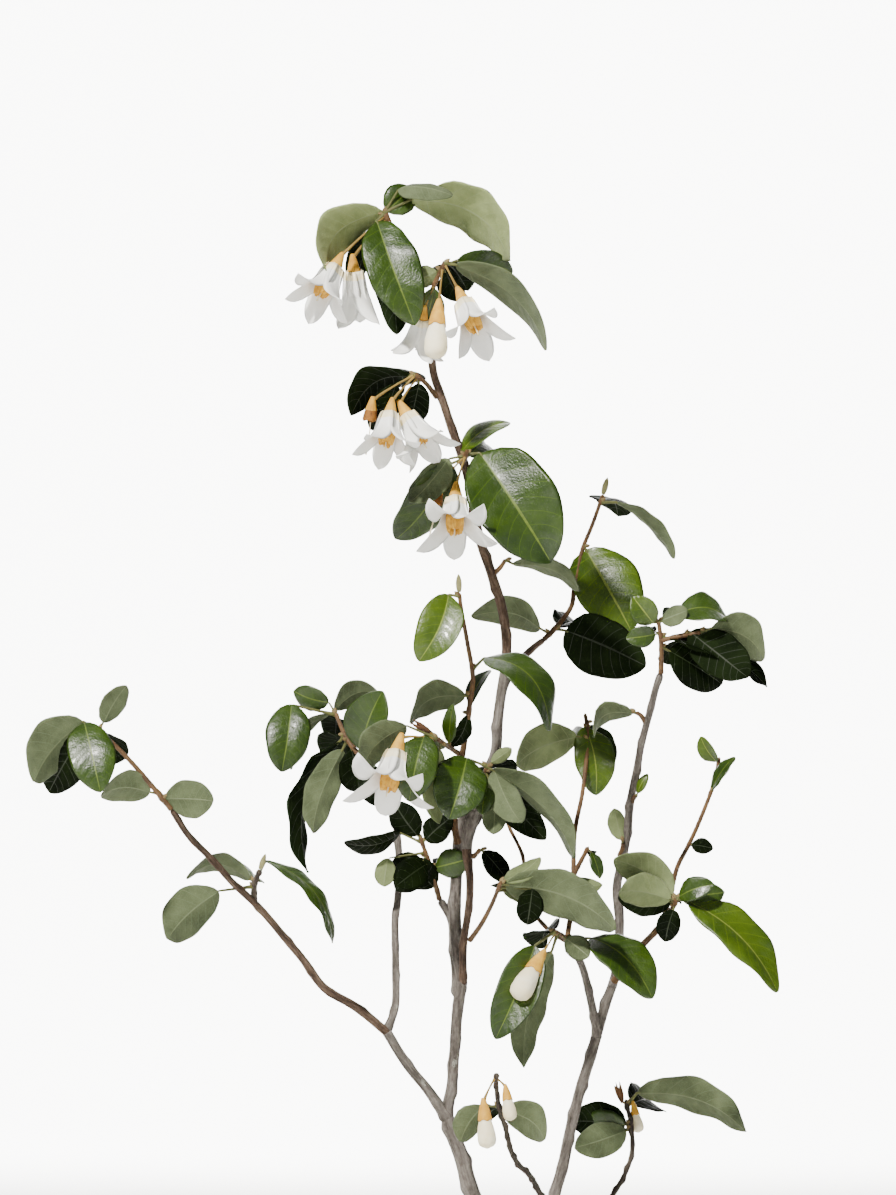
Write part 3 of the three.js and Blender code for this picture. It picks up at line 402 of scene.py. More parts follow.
class Pile:
    """Surfaces gathered into one mesh: points, faces of four corners (or three and a -1), and finishes."""

    def __init__(self):
        self.points, self.faces, self.finish, self.grains, self.count = [], [], [], [], 0

    def add(self, grid, finish, grain=None):
        """A closed skin over a grid of rings: four-cornered faces between rings, and a fan at each end.
        The rings turn to the left as they are seen from the end that they run towards, so it faces out.
        Grain is where each point lies in the pattern of its bark, its own place where none is given."""
        rows, around = grid.shape[:2]
        mark = np.arange(rows * around).reshape(rows, around)
        turn = np.roll(mark, -1, axis=1)
        sides = np.stack([mark[:-1], turn[:-1], turn[1:], mark[1:]], -1).reshape(-1, 4)
        none = np.full(around, -1)
        foot = np.stack([turn[0], mark[0], np.full(around, rows * around), none], -1)
        tip = np.stack([mark[-1], turn[-1], np.full(around, rows * around + 1), none], -1)
        faces = np.vstack([sides, foot, tip])
        finish = np.broadcast_to(finish, (rows - 1, around))
        for kept, places in ((self.points, grid), (self.grains, grid if grain is None else grain)):
            kept.append(np.vstack([places.reshape(-1, 3), places[0].mean(0), places[-1].mean(0)]))
        self.faces.append(np.where(faces < 0, -1, faces + self.count))
        self.finish.append(np.concatenate([finish.ravel(), finish[0], finish[-1]]))
        self.count += rows * around + 2

    def mesh(self, name, finishes):
        """The gathered surfaces as one object at the origin, in metres, with its finishes in their slots."""
        points = np.vstack(self.points) * MM
        faces = np.vstack(self.faces)
        corners = faces >= 0
        sizes = corners.sum(1)
        mesh = bpy.data.meshes.new(name)
        mesh.vertices.add(len(points))
        mesh.vertices.foreach_set("co", points.ravel())
        mesh.loops.add(int(sizes.sum()))
        mesh.loops.foreach_set("vertex_index", faces[corners])
        mesh.polygons.add(len(faces))
        mesh.polygons.foreach_set("loop_start", np.concatenate([[0], np.cumsum(sizes)[:-1]]))
        mesh.polygons.foreach_set("material_index", np.concatenate(self.finish))
        grains = mesh.attributes.new("grain_place", "FLOAT_VECTOR", "POINT")
        grains.data.foreach_set("vector", (np.vstack(self.grains) * MM).ravel())
        mesh.update(calc_edges=True)
        mesh.validate()
        mesh.polygons.foreach_set("use_smooth", np.ones(len(mesh.polygons), bool))
        for finish in finishes:
            mesh.materials.append(finish)
        return placed(name, mesh)


def rings(path, radius, sides, upright=None):
    """A ring of points round each place of a path, square to it. Radius is a row for the rings or a grid
    for rings and angles. Upright, a row from 0 to 1, turns a ring's plane level where it is 1."""
    along = unit(np.gradient(path, axis=0))
    if upright is not None:
        along = unit(along * (1 - upright[:, None]) + np.array([0, 0, 1]) * upright[:, None])
    chord = unit(path[-1] - path[0])
    aside = unit(np.cross(chord, np.eye(3)[np.argmin(np.abs(chord))]))
    first = unit(aside - along * (along @ aside)[:, None])
    second = np.cross(along, first)
    angle = full_turn(sides)[:, None]
    radius = np.asarray(radius)
    radius = radius[:, None] if radius.ndim == 1 else radius
    return path[:, None] + radius[..., None] * (np.cos(angle) * first[:, None]
                                                + np.sin(angle) * second[:, None])


def turned(base, axes, radii, heights, sides, wave=1):
    """A turned shape: rings of the given radii at heights along the chord, scaled by a wave of angles."""
    chord, upper, across = axes
    angle = full_turn(sides)[:, None]
    radius = np.broadcast_to(np.asarray(radii)[:, None] * wave, (len(radii), sides))[..., None]
    heights = np.asarray(heights, float).reshape(len(radii), -1)
    heights = np.broadcast_to(heights, (len(radii), sides))[..., None]
    return base + chord * heights + radius * (np.cos(angle) * across + np.sin(angle) * upper)


def ended(count, past=1.6):
    """A row that is 1 along a twig and rounds off over its last rings: the root of 1 - share squared."""
    left = held((count - 1 - np.arange(count)) / past)
    return np.maximum(np.sqrt(1 - (1 - left) ** 2), 0.05)


def bell_curve(run, place, wide):
    """The bell curve exp(-((run - place) / wide) squared)."""
    return np.exp(-((run - place) / wide) ** 2)


def knobs(run, angle, nodes, turns, high, wide):
    """Swellings on one side of a limb: at each node a bell curve along it times a raised cosine round it."""
    side = (0.5 + 0.5 * np.cos(angle[:, None] - turns)) ** 2
    return high * bell_curve(run[:, None], nodes, wide) @ side.T


def ripples(run, angle, chance, fine, many=14):
    """Bark waves: a sum of sines with seeded rates along the limb and whole numbers of turns round it."""
    rate = chance.uniform(0.15, 1.0, many) * fine
    turns = chance.integers(2, 9, many) * chance.choice([-1, 1], many)
    phase = chance.uniform(0, 2 * np.pi, many)
    return np.sin(run[:, None, None] * rate + angle[None, :, None] * turns + phase).sum(-1) / np.sqrt(many)


GRAIN_APART = 900


def grain_of(radius, run, angle, chance):
    """Places in the bark's pattern: a straight stem of the same girth, each limb far from the others."""
    round_it = np.stack([np.cos(angle), np.sin(angle)])[:, None, :] * radius[None, :, None]
    along = run[:, None] + chance.uniform(0, GRAIN_APART)
    return np.stack([*round_it, np.broadcast_to(along, round_it[0].shape)], -1)


# The limbs' surface. Lengths are in millimetres, and each relief is a share of the limb's radius.
LIMB_RING_GAP = 0.75
LIMB_SIDES = {"old_bark": 26, "young_bark": 18}
OWN_BARK, BROWN_BARK, GREY_BARK = range(3)
BROWN_LIMBS = ("left_bough", "tall_stem_upper", "upper_right_bough", "centre_stem")
GREY_AT_FOOT = ("right_side_bough", "upper_right_bough", "centre_shoot")
GREY_REACH = 3.4
RUNNING_ON = ("trunk", "left_bough_lower", "tall_stem_lower", "right_stem_lower")
GROWN_ON = ("left_bough", "tall_stem_lower", "tall_stem_upper", "right_stem_upper")
FOOT_SUNK = {"centre_stem": 7, "tall_stem_lower": 3}
FOOT_SUNK_USUALLY = 2
FOOT_HIDDEN = 1.2
FOOT_DRAWN_IN = 0.75
COLLAR_HIGH, COLLAR_PLACE, COLLAR_WIDE = 0.3, 1.6, 2.2
NODE_GAP, NODE_MEAN_GAP = (9, 19), 12
NODE_TURN = 2.6
KNOB_HIGH, KNOB_WIDE = 0.26, 1.7
SWELL_HIGH, SWELL_WIDE = 0.12, 5.0
FURROW_RATE, ROUGH_RATE = 0.32, 2.6
OLD_FURROW, OLD_ROUGH, OLD_FULLER = 0.035, 0.035, 0.03
YOUNG_FURROW, YOUNG_ROUGH = 0.012, 0.015
ROOT_LEVEL, ROOT_SMOOTH = 22, 6
ROOT_FLARE, ROOT_FLARE_REACH = 0.2, 9
FORK_DRAWN_IN, FORK_REACH = 0.22, 7
BURL_START, BURL_GROWS, BURL_GREY = 0.8, 0.12, 0.74
BURL_TORN, BURL_ROUGH = 0.3, 0.2
ZIGZAG = (0.16, 0.06, 0)
ZIGZAG_FROM = 12


def limb(pile, entry, chance):
    """One limb: rings along its curve, swollen at its nodes, furrowed along its grain and rough across it.
    Old bark is deeper furrowed, the root crown flares in lobes, and a bough's foot swells where it leaves."""
    name, old = entry["name"], entry["bark"] == "old_bark"
    curve = course(entry["route"], entry["depths"])
    sunk = FOOT_SUNK.get(name, FOOT_SUNK_USUALLY)
    if name != "trunk":
        curve = np.vstack([curve[0] + unit(curve[0] - curve[2]) * sunk, curve])
    length = steps_of(curve).sum()
    count = int(length / LIMB_RING_GAP)
    path = evenly(curve, count)
    run = np.linspace(0, length, count)
    sides = LIMB_SIDES[entry["bark"]]
    angle = full_turn(sides)
    radius = spread(entry["radii"], run / length)
    nodes = np.cumsum(chance.uniform(*NODE_GAP, int(length / NODE_MEAN_GAP) + 2))
    turns = np.arange(len(nodes)) * NODE_TURN + chance.uniform(0, 6)
    swell = (knobs(run, angle, nodes, turns, KNOB_HIGH, KNOB_WIDE)
             + knobs(run, angle, nodes, turns + 0.5, SWELL_HIGH, SWELL_WIDE))
    furrow = -np.abs(ripples(run, angle, chance, FURROW_RATE)) ** 0.7
    rough = ripples(run, angle, chance, ROUGH_RATE) * 0.35
    if old:
        relief = swell + (furrow * OLD_FURROW + rough * OLD_ROUGH + OLD_FULLER)
    else:
        relief = swell + (furrow * YOUNG_FURROW + rough * YOUNG_ROUGH)
    upright = None
    if name == "trunk":
        upright = held(1 - run / ROOT_LEVEL) ** 0.5
        lobes = 0.5 + 0.5 * np.cos(5 * angle + 0.6) + 0.25 * np.cos(2 * angle + 2)
        flare = ROOT_FLARE * lobes * np.exp(-run / ROOT_FLARE_REACH)[:, None]
        relief = relief * np.clip(run / ROOT_SMOOTH, 0.3, 1)[:, None] + flare
        relief = relief - FORK_DRAWN_IN * held((run - length + FORK_REACH) / FORK_REACH)[:, None] ** 2
    else:
        buried = sunk if name in GROWN_ON else sunk + FOOT_HIDDEN
        relief = relief - FOOT_DRAWN_IN * held(1 - run / buried)[:, None]
    if name == "centre_stem":
        burl = held((run / length - BURL_START) / BURL_GROWS)[:, None]
        torn = np.abs(ripples(run * 0.3, angle, chance, 1.4)) - 0.7
        relief = relief + burl * (torn * BURL_TORN + rough * BURL_ROUGH)
    elif name != "trunk" and name not in GROWN_ON:
        relief = relief + COLLAR_HIGH * bell_curve(run, sunk + COLLAR_PLACE, COLLAR_WIDE)[:, None]
    zigzag = np.sin(np.interp(run, nodes, np.arange(len(nodes)) * np.pi + np.pi / 2))
    path = path + zigzag[:, None] * np.array(ZIGZAG) * held(run / ZIGZAG_FROM)[:, None]
    closing = 1 if name in RUNNING_ON else ended(count, 2.2)[:, None]
    grid = rings(path, radius[:, None] * (1 + relief) * closing, sides, upright)
    grid[..., 2] = np.maximum(grid[..., 2], 0)
    finish = np.full(count - 1, BROWN_BARK if name in BROWN_LIMBS else OWN_BARK)
    if name == "trunk":
        grid[0, :, 2] = 0
    if name in GREY_AT_FOOT:
        finish[run[1:] < sunk + GREY_REACH] = GREY_BARK
    if name == "centre_stem":
        finish[run[1:] > BURL_GREY * length] = GREY_BARK
    pile.add(grid, finish[:, None], grain_of(radius, run, angle, chance))
    if name == "centre_stem":
        pile.add(torn_rim(path[-1], unit(path[-1] - path[-6]), chance), GREY_BARK)


# The rim's profile, from its foot inside the wood over its edge and down again: radius as a share of the
# burl's, height, and how far the splinters raise it.
RIM_OUT = np.array([0.6, 0.98, 1.16, 1.24, 1.2, 1.06, 0.9, 0.5])
RIM_HIGH = np.array([-9, -6.5, -4, -1.5, 0.6, 0.3, -1.8, -4.5])
RIM_TORN = np.array([0, 0.1, 0.3, 0.7, 1, 1, 0.5, 0]) * 1.7
RIM_SIDES = 40


def torn_rim(top, rising, chance):
    """The frayed grey wood round the burl: a thin ring wall whose edge rises and sinks in splinters, by a
    sum of sines of the angle."""
    upper = unit(np.cross(rising, [1, 0, 0]))
    axes = (rising, upper, np.cross(upper, rising))
    angle = full_turn(RIM_SIDES)
    edge = sum(np.sin(n * angle + chance.uniform(0, 6)) / n ** 0.6 for n in (1, 2, 3, 5, 8, 11))
    edge = np.clip(edge, -1.6, 1.8)
    uneven = 1 + 0.16 * np.cos(3 * angle + 1) + 0.07 * edge
    heights = RIM_HIGH[:, None] + RIM_TORN[:, None] * edge
    return turned(top, axes, BURL_RADIUS * RIM_OUT, heights, RIM_SIDES, uneven)


# A side vein's half width as a share of the leaf's length, how far it leans forward, how far out it runs.
VEIN_HALF = 0.0034
VEIN_LEAN = 0.85
VEIN_REACH = 0.86


def leaf_plan(veins, inner, columns, reach=(0.1, 0.8)):
    """The rows and columns that every leaf of one size shares. A row starts on the midrib at a share of its
    length, and each side vein has a narrow row of its own. Columns run over the top from +1 to -1, then back
    below. Finish: 0 upper face, 1 underside, 2 side vein above, 3 below, 4 midrib above, 5 below."""
    start = np.linspace(*reach, veins)
    inside = np.linspace(0, 1, inner + 2)[1:-1]
    step = start[1] - start[0]
    rows = np.concatenate([[0, 0.012, 0.04], start - VEIN_HALF, start + VEIN_HALF,
                           (start[:, None] + step * inside).ravel(), [0.93, 0.975, 1.0]])
    rows = np.unique(np.round(rows[rows <= 1], 5))
    top = np.concatenate([columns, -columns[::-1]])
    ring = np.concatenate([top, -top[1:-1]])
    side = np.concatenate([[0], np.ones(len(top) - 2), [0], -np.ones(len(top) - 2)])
    mid = (rows[:-1] + rows[1:]) / 2
    veined = (np.abs(mid[:, None] - start) < VEIN_HALF).any(1)
    nearest = np.abs((ring + np.roll(ring, -1)) / 2)
    below = np.where(np.arange(len(ring)) < len(top) - 1, 0, 1)
    vein = veined[:, None] & (nearest < VEIN_REACH)
    finish = below + np.where(nearest < columns[-1] * 0.9, 4, np.where(vein, 2, 0))
    finish[-1] = below
    return {"rows": rows, "ring": ring, "side": side, "finish": finish, "start": start, "step": step}


LARGE = leaf_plan(7, 2, np.array([1, 0.9, 0.72, 0.5, 0.26, 0.032]))
SMALL = leaf_plan(4, 1, np.array([1, 0.8, 0.45, 0.05]), (0.14, 0.78))
SMALL_LEAF = 17


def outline(share):
    """Half the blade's width, 1 at its widest: share to a power times what is left to another."""
    widest = BASE_POWER / (BASE_POWER + TIP_POWER)
    share = held(share)
    return (share / widest) ** BASE_POWER * ((1 - share) / (1 - widest)) ** TIP_POWER


def midrib(base, axes, long, arch, share):
    """A place on a blade's middle: along its chord, raised towards its upper face by its arch."""
    return base + axes[0] * long * share + axes[1] * long * arch * 4 * share * (1 - share)


# How far the seeded ways of a blade go, as shares of its length or half width, or in radians. A strongly
# arched one is held flat: it folds and curls less. Pillow, ridge and groove are in millimetres.
FOLD = (0.02, 0.24)
RIPPLE = (0.005, 0.018)
DROOP, DROOP_DEEP, DROOP_FROM = (0.2, 1), 0.05, 0.66
WAVES = (2.0, 3.6)
TWIST = 0.16
BEND = 0.02
CURL = (-0.3, 0.3)
MARGIN_WAVE = 0.02
HELD_FLAT = 0.3
PILLOW = 0.21
RIB_BELOW, GROOVE_ABOVE = -0.42, -0.12
RIB_HALF = 0.07


def blade(base, axes, long, wide, arch, chance):
    """A leaf's blade. A place is a share t of the chord and a share v of the half width. Rows lean forward
    with |v| as the side veins do, and each side curls a little towards its margin. The height over the
    arched middle is a fold that grows with |v|, a ripple at the margin, a drooping tip, a pillow between
    each two side veins, a groove on the midrib above and its ridge below, and half the thickness."""
    plan = LARGE if long > SMALL_LEAF else SMALL
    start, v, side = plan["rows"][:, None], plan["ring"][None, :], plan["side"][None, :]
    t = start + VEIN_LEAN * np.abs(v) ** 1.25 * start * (1 - start)
    fold, ripple = chance.uniform(*FOLD) * (HELD_FLAT if arch > 0.2 else 1), chance.uniform(*RIPPLE)
    droop = chance.uniform(*DROOP) * held(1 - arch / 0.2)
    waves, phase, twist = chance.uniform(*WAVES), chance.uniform(0, 6.3), chance.normal(0, TWIST)
    bend = chance.normal(0, BEND)
    curl = chance.uniform(*CURL, 2) * (HELD_FLAT if arch > 0.13 else 1)
    curl = np.where(v > 0, *curl) * np.abs(v) ** 1.4 * np.sin(np.pi * t) ** 0.5
    x = v * wide / 2 * outline(t) * (1 + MARGIN_WAVE * np.sin(waves * 5 * t + phase + v))
    cell = ((start - plan["start"][0]) / plan["step"]) % 1
    pillow = np.sin(np.pi * cell) ** 2 * held(np.abs(v) * 5) * (1 - v ** 4) * min(long / 40, 1) * PILLOW
    rib = np.where(side < 0, RIB_BELOW * (1 - start) ** 0.6, GROOVE_ABOVE) * (np.abs(v) < RIB_HALF)
    z = (fold * np.abs(x) + ripple * long * v ** 2 * np.sin(2 * np.pi * waves * t + phase + np.sign(v))
         - DROOP_DEEP * long * droop * held((t - DROOP_FROM) / (1 - DROOP_FROM)) ** 2
         + (pillow + rib) * held(start * 12) * held((1 - start) * 9)
         + side * BLADE_THICKNESS / 2 * (1 - 0.5 * v ** 6))
    x, z = x * np.cos(curl), z + np.abs(x) * np.sin(curl)
    chord, upper, across = axes
    up = unit(upper - chord * (4 * arch * (1 - 2 * t))[..., None])
    turn = (twist * (t - 0.4))[..., None]
    left = across * np.cos(turn) + up * np.sin(turn)
    up = up * np.cos(turn) - across * np.sin(turn)
    middle = midrib(base, axes, long, arch, t[..., None])
    middle = middle + across * (bend * long * np.sin(np.pi * t))[..., None]
    return middle + left * x[..., None] + up * z[..., None], plan["finish"]


# Each tone's six finishes (the tones are the same greens with light or shade painted in), and the places of
# the others in the lists further down.
GREENS = {tone: np.arange(6) + 6 * place for place, tone in enumerate("bmds")}
SHOOT, PETIOLE, SCALE_BUD, GREY_WOOD = range(4)
CALYX, CALYX_EDGE, PETAL, ANTHER, FILAMENT, CREAM, HUSK, FURRED, STALK = range(9)
PETIOLE_RADII = [0.95, 0.62, 0.52, 0.5, 0.34]
PETIOLE_RINGS = 11
SIDE_BUD_LENGTH, SIDE_BUD_RADIUS = 2.6, 0.75
BUDLESS = 11


def leaf(piles, foot, row, tone, chance, rear=False, downy=False):
    """A leaf: its petiole leaves the middle of the twig and runs on into the midrib below the blade. A downy
    leaf is young and matt on both faces."""
    _, aim, lean, long, wide, roll, arch = row[:7]
    petiole = row[7] if len(row) > 7 else PETIOLE_LENGTH
    axes = frame_of(aim, lean, roll)
    chord, upper, across = axes
    leaving = unit(chord + upper * 2 * arch) if len(row) < 9 else heading(row[8], lean / 2)
    base = foot + leaving * petiole
    running = unit(chord + upper * 4 * arch)
    grid, finish = blade(base, axes, long, wide, arch, chance)
    piles["leaves"].add(grid, GREENS[tone][finish | 1 if downy else finish])
    under = base + running * long * 0.05 - np.cross(across, running) * 0.05
    path = evenly(np.vstack([bent(foot, foot + leaving * petiole * 0.75, base, 9),
                             bent(base, base + running * 0.6, under, 4)[1:]]), PETIOLE_RINGS)
    thick = spread(PETIOLE_RADII, np.linspace(0, 1, PETIOLE_RINGS)) * min(1, 0.55 + long / 70)
    piles["twigs"].add(rings(path, thick * ended(PETIOLE_RINGS, 1.2), 8), PETIOLE)
    if not rear and long > BUDLESS:
        side_bud(piles, foot, unit(leaving + np.array([0, 0, 0.9]) - 0.3 * upper))
    return [midrib(base, axes, long, arch, share) for share in STATION_SHARES]


def side_bud(piles, foot, way):
    """A scaly side bud: an egg drawn along its way, pinched by two spiral scale edges."""
    share = np.linspace(0, 1, 8)
    path = foot + way * np.linspace(0.2, SIDE_BUD_LENGTH, 8)[:, None]
    fat = SIDE_BUD_RADIUS * np.sin(np.pi * held(share * 0.86 + 0.14)) ** 0.7
    pinch = 1 + 0.1 * np.sin(2 * full_turn(10) + 5 * share[:, None])
    piles["twigs"].add(rings(path, np.maximum(fat, 0.06)[:, None] * pinch, 10), SCALE_BUD)


PETAL_ROWS = 15
PETAL_FOOT_ROWS = 2
PETAL_HALF = 0.195
PETAL_SHARES = [0, 0.12, 0.3, 0.5, 0.74, 0.88, 0.96, 1]
PETAL_WIDTHS = [0.62, 0.78, 0.93, 1, 0.9, 0.62, 0.3, 0.03]
PETAL_COLUMNS = np.array([1, 0.7, 0.35, 0, -0.35, -0.7, -1])
PETAL_HALF_THICK = 0.17
PETAL_LONGER = (0.93, 1.05)
SPOON = (0.22, 0.5)
PETAL_CURL = (-0.3, 0.3)


def petal(base, axes, turn, size, first, last, foot, chance):
    """One petal: its middle leaves the cup at one angle from the axis and bends to another, its half width
    grows from a narrow foot to two thirds and rounds off, and its sides are drawn in like a spoon."""
    chord, upper, across = axes
    long = PETAL_LENGTH * size * chance.uniform(*PETAL_LONGER)
    out = across * np.cos(turn) + upper * np.sin(turn)
    s = np.linspace(0, 1, PETAL_ROWS)
    angle = np.radians(first + (last - first) * held((s - 0.2) / 0.8) ** 1.05)[:, None]
    step = long / (PETAL_ROWS - 1) * (out * np.sin(angle) + chord * np.cos(angle))
    middle = base + out * foot + chord * CALYX_LENGTH * CALYX_HOLD * size
    middle = middle + np.vstack([np.zeros(3), np.cumsum(step[1:], axis=0)])
    half = long * PETAL_HALF * np.interp(s, PETAL_SHARES, PETAL_WIDTHS)[:, None]
    s = s[:, None]
    v = np.concatenate([PETAL_COLUMNS, -PETAL_COLUMNS[1:-1]])
    side = np.concatenate([[0], np.ones(5), [0], -np.ones(5)])
    x = v * half
    spoon, curl = chance.uniform(*SPOON) * np.clip(s * 2.5, 0.2, 1), chance.uniform(*PETAL_CURL)
    z = (-spoon * np.abs(v) ** 1.6 * half + side * PETAL_HALF_THICK
         + 0.05 * half * np.sin(9 * s + 4 * v + turn) + curl * x * s)
    outward = out * np.cos(angle) - chord * np.sin(angle)
    return middle[:, None] + np.cross(chord, out) * x[..., None] + outward[:, None] * z[..., None]


# Profiles by share of the calyx's length or the bud's. The cup's runs over its rim and down inside, and
# is brown from one of its rings on.
CUP = np.array([[0.25, -0.02], [0.34, 0.05], [0.46, 0.17], [0.62, 0.35], [0.8, 0.55], [0.94, 0.76],
                [1.0, 0.9], [1.03, 0.97], [1.0, 1.0], [0.93, 0.96], [0.84, 0.8], [0.62, 0.62], [0.2, 0.5]])
CUP_SIDES = 30
BROWN_FROM = {"spent": 4}
BROWN_FROM_USUALLY = 8
BUD_SHARES = [0, 0.15, 0.35, 0.55, 0.75, 0.88, 0.95, 0.99, 1]
BUD_RADII = [0.46, 0.56, 0.72, 0.84, 0.88, 0.76, 0.52, 0.24, 0.08]
STALK_RADII = [0.8, 0.5, 0.5, 0.75, 1.0]
STYLE_RADII = [0.34, 0.24, 0.22, 0.34]
BELL_STYLE_LENGTH, BELL_STYLE_RADIUS = 14.5, 0.3
BELL_TURN = 126
ANTHER_LONGER = (-0.5, 0.9)


def tip_bud(blooms, foot, axes, size):
    """The furred bud at the end of a shoot: an egg with two clefts."""
    share, angle = np.linspace(0, 1, 12), full_turn(16)
    split = 1 - 0.26 * np.abs(np.cos(angle)) ** 6 + 0.12 * np.cos(2 * angle)
    fat = TIP_BUD_RADIUS * size * np.sin(np.pi * (0.12 + 0.88 * share)) ** 0.6
    heights = share * TIP_BUD_LENGTH * size + 0.5
    blooms.add(turned(foot, axes, np.maximum(fat, 0.1), heights, 16, split), FURRED)


def corolla(blooms, top, axes, size, wide, hold, chance):
    """An open bell: five petals that are cream at their feet, a ring of anthers and the style."""
    chord, upper, across = axes
    first, last = min(11, wide * 0.35), 2.25 * wide - min(11, wide * 0.35)
    spin = np.radians(BELL_TURN + chance.uniform(-9, 9))
    fading = np.where(np.arange(PETAL_ROWS - 1) < PETAL_FOOT_ROWS, CREAM, PETAL)[:, None]
    for k in range(PETAL_COUNT):
        turn = spin + k * 2 * np.pi / PETAL_COUNT + chance.normal(0, 0.06)
        bend = last * PETAL_SPREAD[k] + chance.normal(0, 6)
        foot_out = CALYX_RADIUS * size * 0.96
        blooms.add(petal(top, axes, turn, size, first, bend, foot_out, chance), fading)
    ways = np.linspace(0, 1, 14)
    fat = np.where(ways < 0.3, 0.5, 1.05 * np.clip((1.05 - ways) / 0.25, 0.12, 1) ** 0.5) * size
    out_by = (size * (1.3 + 0.7 * held(ways * 1.8) ** 1.5))[:, None]
    finish = np.where(ways[:-1] < 0.28, FILAMENT, ANTHER)[:, None]
    for k in range(ANTHER_COUNT):
        turn = spin + k * 2 * np.pi / ANTHER_COUNT
        tall = (ANTHER_LENGTH + chance.uniform(*ANTHER_LONGER)) * size
        line = top + chord * (hold + 1 + ways * tall)[:, None]
        blooms.add(rings(line + (across * np.cos(turn) + upper * np.sin(turn)) * out_by, fat, 8), finish)
    line = top + chord * np.linspace(hold, hold + BELL_STYLE_LENGTH * size, 10)[:, None]
    blooms.add(rings(line, np.full(10, BELL_STYLE_RADIUS), 6), FILAMENT)


def bloom(piles, foot, row, chance):
    """A bell, bud or old calyx on its stalk: a ribbed calyx cup with five faint teeth, and what it holds."""
    _, out_aim, out_length, aim, lean, kind, size = row
    axes = frame_of(aim, lean, 0)
    chord, across = axes[0], axes[2]
    blooms = piles["blooms"]
    top = foot + heading(out_aim, lean / 2) * out_length
    if kind == "tip":
        tip_bud(blooms, foot, axes, size)
        return [top]
    stem = evenly(bent(foot, top, top + chord * CALYX_LENGTH / 4 * size, 16), 14)
    thick = spread(STALK_RADII, np.linspace(0, 1, 14)) * PEDICEL_RADIUS * 1.25
    blooms.add(rings(stem, thick, 8), STALK)
    angle = full_turn(CUP_SIDES)
    out, high = CUP[:, :1], CUP[:, 1:]
    teeth = np.interp(high, [0.5, 1.0], [0, 1]) * 0.035 * np.cos(5 * angle)
    ribs = 1 + 0.035 * np.cos(10 * angle) * np.sin(np.pi * held(out))
    if kind == "husk":
        turn = chance.uniform(0, 6)
        drawn = held(high) ** 2
        ribs = (ribs + 0.2 * np.cos(3 * angle + turn) * drawn) * (1 - 0.42 * drawn)
        teeth = teeth * 4 + 0.16 * drawn * np.sin(4 * angle + turn)
    heights = (high + teeth) * CALYX_LENGTH * size
    cup = turned(top, axes, CUP[:, 0] * CALYX_RADIUS * size, heights, CUP_SIDES, ribs)
    rim = np.arange(len(CUP) - 1) >= BROWN_FROM.get(kind, BROWN_FROM_USUALLY)
    blooms.add(cup, HUSK if kind == "husk" else np.where(rim, CALYX_EDGE, CALYX)[:, None])
    hold = CALYX_LENGTH * CALYX_HOLD * size
    if kind == "bud":
        share = np.linspace(0, 1, 18)
        fat = BUD_BODY_RADIUS * size * np.interp(share, BUD_SHARES, BUD_RADII)
        swirl = ((5 * angle / (2 * np.pi) + 1.1 * share[:, None]) % 1) * 0.07 + 0.97
        heights = hold + share * BUD_BODY_LENGTH * size
        blooms.add(turned(top, axes, np.maximum(fat, 0.15), heights, CUP_SIDES, swirl), CREAM)
    if kind == "spent":
        line = top + chord * np.linspace(hold * 0.8, hold + STYLE_LENGTH, 14)[:, None]
        line = line + across * (0.6 * np.sin(np.linspace(0, 2.5, 14)))[:, None]
        blooms.add(rings(line, spread(STYLE_RADII, np.linspace(0, 1, 14)), 6), FILAMENT)
    if kind in OPENNESS:
        corolla(blooms, top, axes, size, OPENNESS[kind], hold, chance)
    return [top, top + chord * 2 * CALYX_LENGTH * size]


SHOOT_RING_GAP = 0.8
SHOOT_SIDES = 12
LEAF_KNOB_HIGH, LEAF_KNOB_WIDE = 0.4, 1.1
YEAR_GAP, YEAR_KNOB_HIGH, YEAR_KNOB_WIDE = 5.3, 0.75, 1.2
OLD_SHOOT_FULLER = 0.12


def shoot(piles, line, places, foot_radius, tip_radius, old=False):
    """A twig: a slim tapering tube, swollen on alternate sides where its leaves leave it. An old one is
    knobbed all along with the marks of past years."""
    length = steps_of(line).sum()
    count = max(8, int(length / SHOOT_RING_GAP))
    path = evenly(line, count)
    run = np.linspace(0, length, count)
    angle = full_turn(SHOOT_SIDES)
    places = np.array(sorted(places)) * length
    swell = knobs(run, angle, places, np.arange(len(places)) * 3.1, LEAF_KNOB_HIGH, LEAF_KNOB_WIDE)
    if old:
        years = np.arange(4, length, YEAR_GAP)
        swell = swell + OLD_SHOOT_FULLER + knobs(run, angle, years, np.arange(len(years)) * 2.4,
                                                 YEAR_KNOB_HIGH, YEAR_KNOB_WIDE)
    ring_marks = 0.05 * np.sin(run * 2.3)[:, None]
    radius = spread([foot_radius, tip_radius], run / length)[:, None] * (1 + swell + ring_marks)
    grain = grain_of(np.full(count, foot_radius), run, angle, np.random.default_rng(count))
    grid = rings(path, radius * ended(count)[:, None], SHOOT_SIDES)
    piles["twigs"].add(grid, GREY_WOOD if old else SHOOT, grain)


def between(ends, share):
    """The value at a share of the way from one end to the other."""
    return ends[0] + (ends[1] - ends[0]) * share


def rear_row(leaves, draw):
    """One leaf behind the front ones, as in the solids: from a front leaf's own place, leaned to the back,
    its upper face near the sky."""
    front = leaves[int(next(draw) * len(leaves))]
    aim = front[1] + (next(draw) - 0.5) * REAR_SPREAD
    lean = between(REAR_LEAN, next(draw))
    long = min(front[3], REAR_LONGEST) * between(REAR_LENGTH, next(draw))
    _, upper, across = frame_of(aim, lean, 0)
    roll = np.degrees(np.arctan2(across[2], upper[2])) + (next(draw) - 0.5) * 2 * REAR_ROLL
    return [front[0], aim, lean, long, long * REAR_WIDTH, roll, REAR_ARCH]


